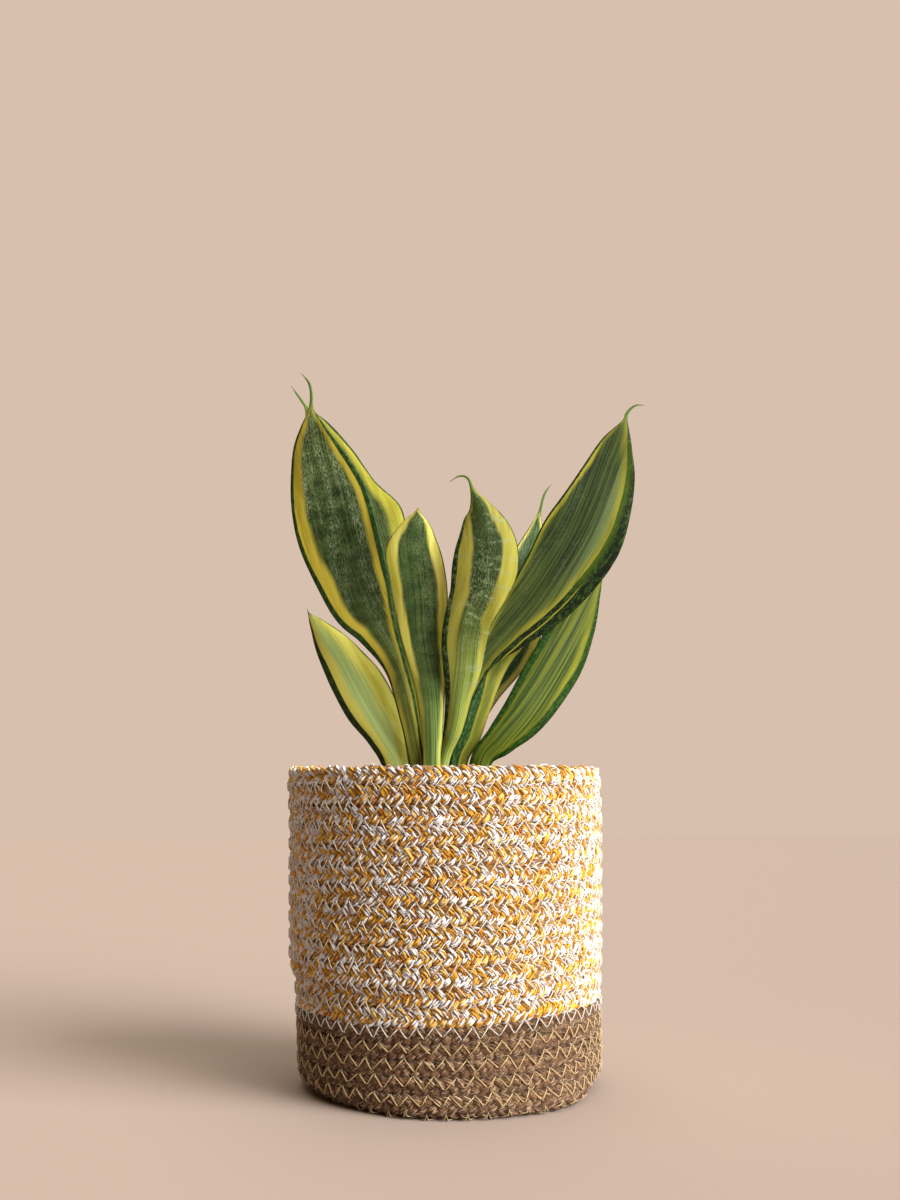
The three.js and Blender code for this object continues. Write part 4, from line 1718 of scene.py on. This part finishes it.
@dataclass
class Basket:
    """The sewn basket: a jute floor and foot in one spiral, and a cotton wall that carries it on.

    The lags tell how level a row runs at the front. The last tail_turns of the cotton braid thin out to
    tail_share of its width, and it never gets narrower than least_width of it under the rim. The low
    offsets tell how far each zigzag lies below its seam.
    """

    form: WallForm = field(default_factory=WallForm)
    colour_change_z: float = 38.4
    cotton_rows: float = 13.0
    foot_lag: float = 0.2
    rim_lag: float = 1.0
    tail_turns: float = 0.06
    tail_share: float = 0.35
    least_width: float = 0.2
    inner_rows: float = 2.5
    foot_seam_turns: float = 6.6
    change_seam_low: float = 1.6
    cotton_seam_low: float = 0.3
    jute_seam_low: float = 1.4
    lowest_z: float = 0.15
    shade_sheet_sides: int = 90
    shade_sheet_rows: int = 24
    shade_sheet_thickness: float = 0.8
    shade_sheet_below_rim: float = 5.0
    cotton_seed: int = 41
    jute_seed: int = 43
    seam_seed: int = 47
    cotton: Braid = Braid(
        pitch=8.74,
        row_width=10.8,
        period=12.0,
        half_thick=1.55,
        strand_share=0.45,
        white_share=0.52,
        yarn=Yarn(abreast=4, spacing=0.98, radius=0.66, lift=0.24),
    )
    jute: Braid = Braid(
        pitch=7.1,
        row_width=8.6,
        period=12.6,
        half_thick=1.7,
        strand_share=0.48,
        white_share=0.5,
        yarn=Yarn(abreast=6, spacing=0.68, radius=0.38, lift=0.12),
        core_sides=8,
        core_rings=6,
        core_thick=1.4,
        painted_core_shade=0.5,
        yarn_shade=0.02,
        alike=0.0,
    )
    cotton_seam: Seam = Seam(stitch=7.7, height=5.4, radius=0.24, out_high=3.1, out_low=1.5)
    jute_seam: Seam = Seam(stitch=8.8, height=5.2, radius=0.25, out_high=2.8, out_low=1.4)
    cotton_finish: CottonFinish = CottonFinish()
    jute_finish: JuteFinish = JuteFinish()
    cream_finish: ThreadFinish = ThreadFinish("cream_thread", srgb(196, 190, 178), srgb(244, 240, 230))
    straw_finish: ThreadFinish = ThreadFinish("straw_thread", srgb(178, 148, 98), srgb(228, 204, 154))

    @staticmethod
    def wound(turns: np.ndarray, lag: np.ndarray | float) -> np.ndarray:
        """Turns counted so that a row stays level at the front and climbs at the back.

        Args:
            turns: Real turns, with the front at the half turns.
            lag: 0 for an even climb, 1 for none at the front.

        Returns:
            The count.
        """
        return turns - lag * np.sin(2 * math.pi * (turns - 0.5)) / (2 * math.pi)

    def change_reach(self) -> float:
        """How far along the profile the colour changes at the front."""
        return self.form.reach_of(self.colour_change_z)

    def cotton_reach(self, turns: np.ndarray) -> np.ndarray:
        """The profile length of the cotton row's middle. Turn 0 is its start at the back."""
        lag = self.foot_lag + (self.rim_lag - self.foot_lag) * rise(0, self.cotton_rows, turns)
        return self.change_reach() + self.cotton.pitch * self.wound(turns, lag)

    def jute_reach(self, turns: np.ndarray) -> np.ndarray:
        """The profile length of the jute row's middle. Turn 0 is its end at the back."""
        return self.change_reach() + self.jute.pitch * self.wound(turns, self.foot_lag)

    def cotton_edge(self, turns: np.ndarray) -> np.ndarray:
        """The profile length of the cotton row's upper edge."""
        return self.cotton_reach(turns) + self.cotton.pitch / 2

    def jute_edge(self, turns: np.ndarray) -> np.ndarray:
        """The profile length of the jute row's upper edge."""
        return self.jute_reach(turns) + self.jute.pitch / 2

    def cotton_width(self, turns: np.ndarray) -> np.ndarray:
        """How wide the cotton braid is: it narrows behind the rim, so that the rim stays level.

        Args:
            turns: How many turns round.

        Returns:
            The share of its full width at each of them.
        """
        top = self.cotton_reach(turns) + self.cotton.row_width / 2
        over = np.maximum(top - self.form.reach_of(self.form.height), 0)
        ending = rise(0, self.tail_turns, turns - (self.cotton_rows - self.tail_turns))
        tail = 1 - (1 - self.tail_share) * ending
        return np.clip(1 - over / self.cotton.row_width, self.least_width, 1) * tail

    def cotton_middle(self, turns: np.ndarray) -> np.ndarray:
        """The row's middle with its lower edge kept on the row below where the braid is narrow."""
        loss = (1 - self.cotton_width(turns)) * self.cotton.row_width / 2
        return self.cotton_reach(turns) - loss

    def lifted(self, shape: Shape) -> Shape:
        """The shape with nothing below the lowest point that the jute may reach."""
        shape.points[:, 2] = np.maximum(shape.points[:, 2], self.lowest_z)
        return shape

    def build(self) -> None:
        """Makes the braids and seams and dresses them."""
        self.build_cotton(self.cotton_finish.make())
        self.build_jute(self.jute_finish.make())
        self.build_seams()

    def shade_sheet(self, low: float, high: float) -> Shape:
        """A thin sheet in the middle of the wall, which closes the gaps between the strands and takes the
        darkest colour number as painted shade.

        Args:
            low: The profile length where it starts.
            high: The profile length where it ends.

        Returns:
            The shape.
        """
        turns = np.linspace(0, 1, self.shade_sheet_sides + 1)
        reach = np.linspace(low, high, self.shade_sheet_rows)
        grid = np.meshgrid(turns, reach, indexing="ij")
        points, _, outward = self.form.lay(grid[1].ravel(), grid[0].ravel())
        points, outward = (v.reshape(len(turns), len(reach), 3) for v in (points, outward))
        half = self.shade_sheet_thickness / 2
        shape = tube(np.concatenate([points + outward * half, (points - outward * half)[:, ::-1]], axis=1))
        shape.at_points["grain"] = shape.points.copy()
        # Painted shade: colour number 0, the darkest.
        shape.at_faces["dye_and_painted_shade"] = np.zeros(len(shape.faces))
        return shape

    def build_cotton(self, skin: bpy.types.Material) -> None:
        """Makes the three strands of the cotton wall.

        Args:
            skin: Their material.
        """
        row = Row(self.form, 0.0, self.cotton_rows, self.cotton_middle)
        end, inner = row.travel[-1], row.travel_at(self.cotton_rows - self.inner_rows)
        rng = np.random.default_rng(self.cotton_seed)
        for number in range(3):
            strand = Strand(self.cotton, row, number, self.cotton_width, rng)
            parts = [strand.core(), strand.yarns(0.0, end, True), strand.yarns(inner, end, False)]
            if number == 0:
                top = self.form.reach_of(self.form.height - self.shade_sheet_below_rim)
                parts.append(self.shade_sheet(self.change_reach(), top))
            make_object(f"cotton_strand_{number + 1}", joined(parts), skin, Slot.COTTON, "cotton_wall")

    def build_jute(self, skin: bpy.types.Material) -> None:
        """Makes the three strands of the jute floor and foot.

        Args:
            skin: Their material.
        """
        pitch, change = self.jute.pitch, self.change_reach()
        row = Row(self.form, -(change - pitch) / pitch, 0.0, self.jute_reach)
        wall = row.travel_at((self.form.reach_of(0.0) - change) / pitch - 0.5)
        rng = np.random.default_rng(self.jute_seed)
        for number in range(3):
            strand = Strand(self.jute, row, number, np.ones_like, rng)
            parts = [strand.core(), strand.yarns(wall, row.travel[-1], True)]
            if number == 0:
                parts.append(self.shade_sheet(pitch, change))
            shape = self.lifted(joined(parts))
            make_object(f"jute_strand_{number + 1}", shape, skin, Slot.JUTE, "jute_base")

    def build_seams(self) -> None:
        """Sews the rows together."""
        rng = np.random.default_rng(self.seam_seed)
        last = self.cotton_rows - 1.0
        change = Row(self.form, -1.0, 0.0, self.jute_edge)
        outer = Row(self.form, 0.0, last, self.cotton_edge)
        inner = Row(self.form, last - self.inner_rows, last, self.cotton_edge)
        cream = [
            self.cotton_seam.sew(change, -self.change_seam_low, False, rng),
            self.cotton_seam.sew(outer, -self.cotton_seam_low, False, rng),
            self.cotton_seam.sew(inner, 0.0, True, rng),
        ]
        make_object("cream_seam", joined(cream), self.cream_finish.make(), Slot.COTTON, "cotton_wall")
        foot = Row(self.form, -self.foot_seam_turns, -1.0, self.jute_edge)
        straw = self.lifted(self.jute_seam.sew(foot, -self.jute_seam_low, False, rng))
        make_object("straw_seam", straw, self.straw_finish.make(), Slot.JUTE, "jute_base")


# Pot and soil


@dataclass(frozen=True)
class PlasticFinish:
    """Dull moulded plastic with a fine grain and a little soil dust."""

    body: Colour = srgb(58, 48, 42)
    dust: Colour = srgb(96, 80, 66)
    grain_relief: float = 0.00005

    def make(self) -> bpy.types.Material:
        """Makes the material.

        Returns:
            The plastic material.
        """
        g = Graph("pot_plastic")
        x, y, z = g.split(g.layer("place", "Vector"))
        grain = g.noise(x * 2.2, y * 2.2, z * 2.2, detail=3)
        dirt = g.noise(x * 0.09, y * 0.09, z * 0.16, detail=4).smooth(0.48, 0.75)
        return g.finish(
            {
                "Base Color": g.mix(dirt * 0.5, self.body, self.dust),
                "Roughness": (grain * 0.3 + dirt * 0.7).smooth(0.1, 0.8, 0.5, 0.8),
                "Specular IOR Level": 0.4,
                "Normal": g.bump(grain, self.grain_relief),
            }
        )


@dataclass
class GrowPot:
    """The plain plastic pot that stands inside the basket.

    roll is the rounding of its lip and crease the small one inside that. foot_curve lists the foot's
    rounding, as (how far inside the foot's radius, how far up).
    """

    foot_z: float = 6.3
    top_z: float = 130.0
    lip_height: float = 8.0
    lip_radius: float = 63.5
    top_radius: float = 61.0
    foot_radius: float = 48.0
    wall: float = 1.6
    roll: float = 0.8
    crease: float = 0.25
    lip_edge: float = 0.4
    foot_curve: tuple[Span, ...] = ((1.2, 0.0), (0.3, 0.3), (-0.05, 1.2))
    centre_x: float = -1.5
    sides: int = 144
    holes: int = 6
    hole_radius: float = 4.0
    hole_reach: float = 30.0
    hole_sides: int = 24
    drill_spare: float = 3.0
    finish: PlasticFinish = PlasticFinish()

    def inside(self, z: float) -> float:
        """The pot's inner radius at a height."""
        share = (z - self.foot_z) / (self.top_z - self.foot_z)
        return self.foot_radius + (self.top_radius - self.foot_radius) * share - self.wall

    def shape(self) -> Shape:
        """The turned shell with its rolled lip.

        Returns:
            The shell without its drain holes.
        """
        top, roll, crease = self.top_z, self.roll, self.crease
        lip, floor = top - self.lip_height, self.foot_z + self.wall
        profile = [(self.foot_radius - inward, self.foot_z + up) for inward, up in self.foot_curve]
        profile += [
            (self.inside(lip) + self.wall, lip),
            (self.lip_radius - self.lip_edge, lip + 0.02),
            (self.lip_radius, lip + self.lip_edge),
            (self.lip_radius, top - roll),
            (self.lip_radius - 0.3, top - crease),
            (self.lip_radius - roll, top),
            (self.inside(top) + roll, top),
            (self.inside(top) + crease, top - crease),
            (self.inside(top - roll), top - roll),
            (self.inside(floor) + 0.1, floor + roll),
            (self.inside(floor) - roll, floor),
        ]
        shape = turned(profile, self.sides)
        shape.points[:, 0] += self.centre_x
        shape.at_points["place"] = shape.points.copy()
        return shape

    def build(self) -> None:
        """Makes the pot, drills its drain holes and dresses it."""
        make_object("grow_pot_shell", self.shape(), self.finish.make(), Slot.PLASTIC, "grow_pot")
        self.drill(bpy.data.objects["grow_pot_shell"])

    def drill(self, pot: bpy.types.Object) -> None:
        """Cuts the drain holes through the pot's floor.

        Args:
            pot: The pot.
        """
        low, high = self.foot_z - self.drill_spare, self.foot_z + self.wall + self.drill_spare
        pins = []
        for angle in circle(self.holes):
            pin = turned([(self.hole_radius, low), (self.hole_radius, high)], self.hole_sides)
            pin.points[:, 0] += self.hole_reach * math.cos(angle) + self.centre_x
            pin.points[:, 1] += self.hole_reach * math.sin(angle)
            pins.append(pin)
        mesh = bpy.data.meshes.new("drill")
        pin = joined(pins)
        faces = [[int(i) for i in face if i >= 0] for face in pin.faces]
        mesh.from_pydata([tuple(p) for p in pin.points * MM], [], faces)
        drill = placed("drill", mesh)
        cut = pot.modifiers.new("holes", "BOOLEAN")
        cut.operation = "DIFFERENCE"
        cut.object = drill
        graph = bpy.context.evaluated_depsgraph_get()
        holed = bpy.data.meshes.new_from_object(pot.evaluated_get(graph))
        pot.modifiers.clear()
        pot.data = holed
        bpy.data.objects.remove(drill)


@dataclass(frozen=True)
class SoilFinish:
    """Moist potting mix, from near black to peat brown."""

    wet: Colour = srgb(34, 24, 18)
    dry: Colour = srgb(92, 68, 48)
    crumb_relief: float = 0.0006

    def make(self) -> bpy.types.Material:
        """Makes the material.

        Returns:
            The soil material.
        """
        g = Graph("potting_soil")
        x, y, z = g.split(g.layer("place", "Vector"))
        coarse = g.noise(x * 0.35, y * 0.35, z * 0.35, detail=4, rough=0.6)
        fine = g.noise(x * 1.6, y * 1.6, z * 1.6, detail=3)
        return g.finish(
            {
                "Base Color": g.mix((coarse * 0.6 + fine * 0.4).smooth(0.35, 0.7), self.wet, self.dry),
                "Roughness": fine.smooth(0.3, 0.7, 0.8, 0.98),
                "Specular IOR Level": 0.25,
                "Normal": g.bump(fine * 0.5 + coarse * 0.5, self.crumb_relief),
            }
        )


@dataclass(frozen=True)
class PerliteFinish:
    """Chalky white perlite with pits and brown stains."""

    chalk: Colour = srgb(226, 222, 212)
    stain: Colour = srgb(150, 126, 98)
    pit_relief: float = 0.0003

    def make(self) -> bpy.types.Material:
        """Makes the material.

        Returns:
            The perlite material.
        """
        g = Graph("perlite")
        x, y, z = g.split(g.layer("place", "Vector"))
        pits = g.noise(x * 1.8, y * 1.8, z * 1.8, detail=3)
        return g.finish(
            {
                "Base Color": g.mix(pits.smooth(0.5, 0.72), self.chalk, self.stain),
                "Roughness": pits.smooth(0.2, 0.8, 0.85, 0.98),
                "Specular IOR Level": 0.2,
                "Normal": g.bump(pits, self.pit_relief),
            }
        )


@dataclass(frozen=True)
class Lumps:
    """Loose lumps of one kind: how many, their least and greatest radius, and where their places come from.

    The greater rarity is, the fewer are large. A lump is between flattest and longest times its radius
    along each of its own axes, with unevenness at its corners, and its middle stands raised times its
    radius over the soil.
    """

    count: int
    smallest: float
    largest: float
    seed: int
    rarity: float = 2.5
    flattest: float = 0.6
    longest: float = 1.25
    unevenness: float = 0.18
    raised: float = 0.35

    def scattered(self, reach: float, height: Callable[[np.ndarray], np.ndarray]) -> Shape:
        """Spreads the lumps over a round face.

        Args:
            reach: The radius of the face.
            height: Gives the face's height at a distance from its middle.

        Returns:
            All the lumps.
        """
        rng = np.random.default_rng(self.seed)
        corners, faces = icosahedron()
        lumps = []
        for _ in range(self.count):
            radius = (reach - self.largest) * math.sqrt(rng.random())
            angle = rng.uniform(0, 2 * math.pi)
            size = self.smallest + (self.largest - self.smallest) * rng.random() ** self.rarity
            stretch = rng.uniform(self.flattest, self.longest, 3)
            turn = np.linalg.qr(rng.standard_normal((3, 3)))[0]
            turn[:, 0] *= np.sign(np.linalg.det(turn))
            uneven = 1 + self.unevenness * rng.standard_normal((len(corners), 1))
            points = (corners * uneven * size * stretch) @ turn.T
            z = height(np.array(radius)) + self.raised * size
            centre = (radius * math.cos(angle), radius * math.sin(angle), z)
            lumps.append(Shape(points + centre, faces))
        return joined(lumps)


@dataclass
class Soil:
    """The soil in the pot, with loose crumbs and perlite on its face.

    The face is crown higher than its edge as far as crown_radius, and shoulder higher at edge_radius.
    It is rough where it is no more than rough_depth below its edge.
    """

    pot: GrowPot
    edge_z: float = 123.0
    crown: float = 2.5
    gap: float = 0.3
    edge_radius: float = 44.0
    crown_radius: float = 26.0
    shoulder: float = 1.5
    foot_bevel: float = 1.0
    rings: int = 62
    sides: int = 150
    roughness: float = 0.9
    rough_depth: float = 0.5
    rough_scale: float = 0.16
    rough_fading: float = 0.9
    rough_spacing: float = 2.1
    rough_layers: int = 4
    crumbs: Lumps = Lumps(count=1500, smallest=0.5, largest=2.1, seed=5)
    perlite: Lumps = Lumps(count=80, smallest=0.7, largest=1.7, seed=9)

    def outer(self, z: float) -> float:
        """The soil's radius at a height."""
        return self.pot.inside(z) - self.gap

    def height(self, radius: np.ndarray) -> np.ndarray:
        """The soil's height at distances from its middle.

        Args:
            radius: The distances.

        Returns:
            The height at each of them.
        """
        radii = [0, self.crown_radius, self.edge_radius, self.outer(self.edge_z)]
        rises = [self.crown, self.crown, self.shoulder, 0.0]
        return self.edge_z + np.interp(radius, radii, rises)

    def surface(self) -> Shape:
        """The soil as one closed body whose top is rough.

        Returns:
            The shape.
        """
        bottom = self.pot.foot_z + self.pot.wall + self.gap
        foot, bevel = self.outer(bottom), self.foot_bevel
        radii = np.linspace(self.outer(self.edge_z), 1.0, self.rings)
        profile = [(foot - bevel, bottom), (foot, bottom + bevel), *zip(radii, self.height(radii))]
        shape = turned(profile, self.sides)
        for point in shape.points:
            if point[2] > self.edge_z - self.rough_depth:
                place = Vector(point) * self.rough_scale
                lumps = noise.fractal(place, self.rough_fading, self.rough_spacing, self.rough_layers)
                point[2] += self.roughness * lumps
        return self.in_pot(shape)

    def in_pot(self, shape: Shape) -> Shape:
        """Moves a shape to the pot's middle and notes its places for its material.

        Args:
            shape: The shape.

        Returns:
            The same shape.
        """
        shape.points[:, 0] += self.pot.centre_x
        shape.at_points["place"] = shape.points.copy()
        return shape

    def build(self) -> None:
        """Makes the soil, its crumbs and the perlite."""
        reach = self.outer(self.edge_z)
        earth = SoilFinish().make()
        make_object("soil_body", self.surface(), earth, Slot.SOIL, "soil")
        crumbs = self.in_pot(self.crumbs.scattered(reach, self.height))
        make_object("soil_crumbs", crumbs, earth, Slot.SOIL, "soil")
        perlite = self.in_pot(self.perlite.scattered(reach, self.height))
        make_object("perlite_bits", perlite, PerliteFinish().make(), Slot.SOIL, "soil")


def icosahedron() -> tuple[np.ndarray, np.ndarray]:
    """The corners of a twenty-sided ball of radius one, and its faces.

    Returns:
        The corners and the faces, each with -1 as its fourth corner.
    """
    golden = (1 + math.sqrt(5)) / 2
    corners = np.array(
        [
            (-1, golden, 0), (1, golden, 0), (-1, -golden, 0), (1, -golden, 0),
            (0, -1, golden), (0, 1, golden), (0, -1, -golden), (0, 1, -golden),
            (golden, 0, -1), (golden, 0, 1), (-golden, 0, -1), (-golden, 0, 1),
        ],
        dtype=float,
    )
    faces = [
        (0, 11, 5), (0, 5, 1), (0, 1, 7), (0, 7, 10), (0, 10, 11),
        (1, 5, 9), (5, 11, 4), (11, 10, 2), (10, 7, 6), (7, 1, 8),
        (3, 9, 4), (3, 4, 2), (3, 2, 6), (3, 6, 8), (3, 8, 9),
        (4, 9, 5), (2, 4, 11), (6, 2, 10), (8, 6, 7), (9, 8, 1),
    ]
    return unit(corners), np.array([(*face, -1) for face in faces])


# Studio


@dataclass(frozen=True)
class Lamp:
    """A broad light from far away.

    place is the way that it comes from, spread how wide it is in degrees, and power its watts on a
    square metre.
    """

    name: str
    place: tuple[float, float, float]
    spread: float
    power: float
    colour: tuple[float, float, float]

    def hang(self) -> None:
        """Puts the light into the scene."""
        lamp = bpy.data.lights.new(self.name, "SUN")
        lamp.angle = math.radians(self.spread)
        lamp.energy = self.power
        lamp.color = self.colour
        holder = placed(self.name, lamp)
        holder.rotation_euler = (-Vector(self.place)).to_track_quat("-Z", "Y").to_euler()


@dataclass
class Studio:
    """A plain pale floor, soft light from the right and front, and the camera."""

    camera_place: tuple[float, float, float] = (0.2, -647.0, 144.5)
    lens: float = 40.2
    shift_up: float = 0.1517
    nearest: float = 10.0
    floor_size: float = 6.0
    floor_colour: Colour = srgb(172, 155, 145)
    floor_roughness: float = 0.75
    backdrop: Colour = srgb(216, 192, 174)
    surround: Colour = (1.0, 0.62, 0.32, 1.0)
    surround_strength: float = 0.085
    lamps: tuple[Lamp, ...] = (
        Lamp("key_light", (2.1, -1.15, 1.2), spread=40.0, power=4.6, colour=(1.0, 0.985, 0.965)),
        Lamp("front_light", (1.1, -1.05, 0.8), spread=40.0, power=2.0, colour=(1.0, 0.95, 0.88)),
        Lamp("top_light", (0.1, 0.25, 2.0), spread=60.0, power=1.5, colour=(1.0, 0.93, 0.84)),
        Lamp("back_light", (-0.5, 1.6, 1.0), spread=60.0, power=0.6, colour=(1.0, 0.82, 0.6)),
    )

    def build(self) -> None:
        """Sets up the floor, the lights and the camera."""
        self.lay_floor()
        for lamp in self.lamps:
            lamp.hang()
        self.surround_all()
        bpy.context.scene.view_settings.view_transform = "Standard"
        self.aim_camera()

    def surround_all(self) -> None:
        """Gives the room a weak even light, and a plain pale backdrop where it is seen directly."""
        world = bpy.data.worlds.new("surround")
        world.use_nodes = True
        tree = world.node_tree
        room = tree.nodes["Background"]
        room.inputs["Color"].default_value = self.surround
        room.inputs["Strength"].default_value = self.surround_strength
        seen = tree.nodes.new("ShaderNodeBackground")
        seen.inputs["Color"].default_value = self.backdrop
        path = tree.nodes.new("ShaderNodeLightPath")
        either = tree.nodes.new("ShaderNodeMixShader")
        tree.links.new(path.outputs["Is Camera Ray"], either.inputs[0])
        tree.links.new(room.outputs[0], either.inputs[1])
        tree.links.new(seen.outputs[0], either.inputs[2])
        tree.links.new(either.outputs[0], tree.nodes["World Output"].inputs["Surface"])
        bpy.context.scene.world = world

    def lay_floor(self) -> None:
        """Lays the floor."""
        mesh = bpy.data.meshes.new("floor")
        half = self.floor_size / 2
        corners = [(-half, -half, 0), (half, -half, 0), (half, half, 0), (-half, half, 0)]
        mesh.from_pydata(corners, [], [(0, 1, 2, 3)])
        surface = {"Base Color": self.floor_colour, "Roughness": self.floor_roughness}
        mesh.materials.append(Graph("studio_floor").finish(surface))
        placed("floor", mesh)

    def aim_camera(self) -> None:
        """Adds the level camera in front of the plant."""
        data = bpy.data.cameras.new("camera")
        data.lens = self.lens
        data.shift_y = self.shift_up
        data.clip_start = self.nearest * MM
        camera = placed("camera", data)
        camera.location = [c * MM for c in self.camera_place]
        camera.rotation_euler = (math.pi / 2, 0, 0)
        bpy.context.scene.camera = camera


def main() -> None:
    """Builds the studio, the basket, the pot, the soil and the leaves, in that order."""
    logging.basicConfig(level=logging.INFO, format="%(name)s: %(message)s")
    Studio().build()
    Basket().build()
    pot = GrowPot()
    pot.build()
    Soil(pot).build()
    Foliage().build()


if __name__ == "__main__":
    main()
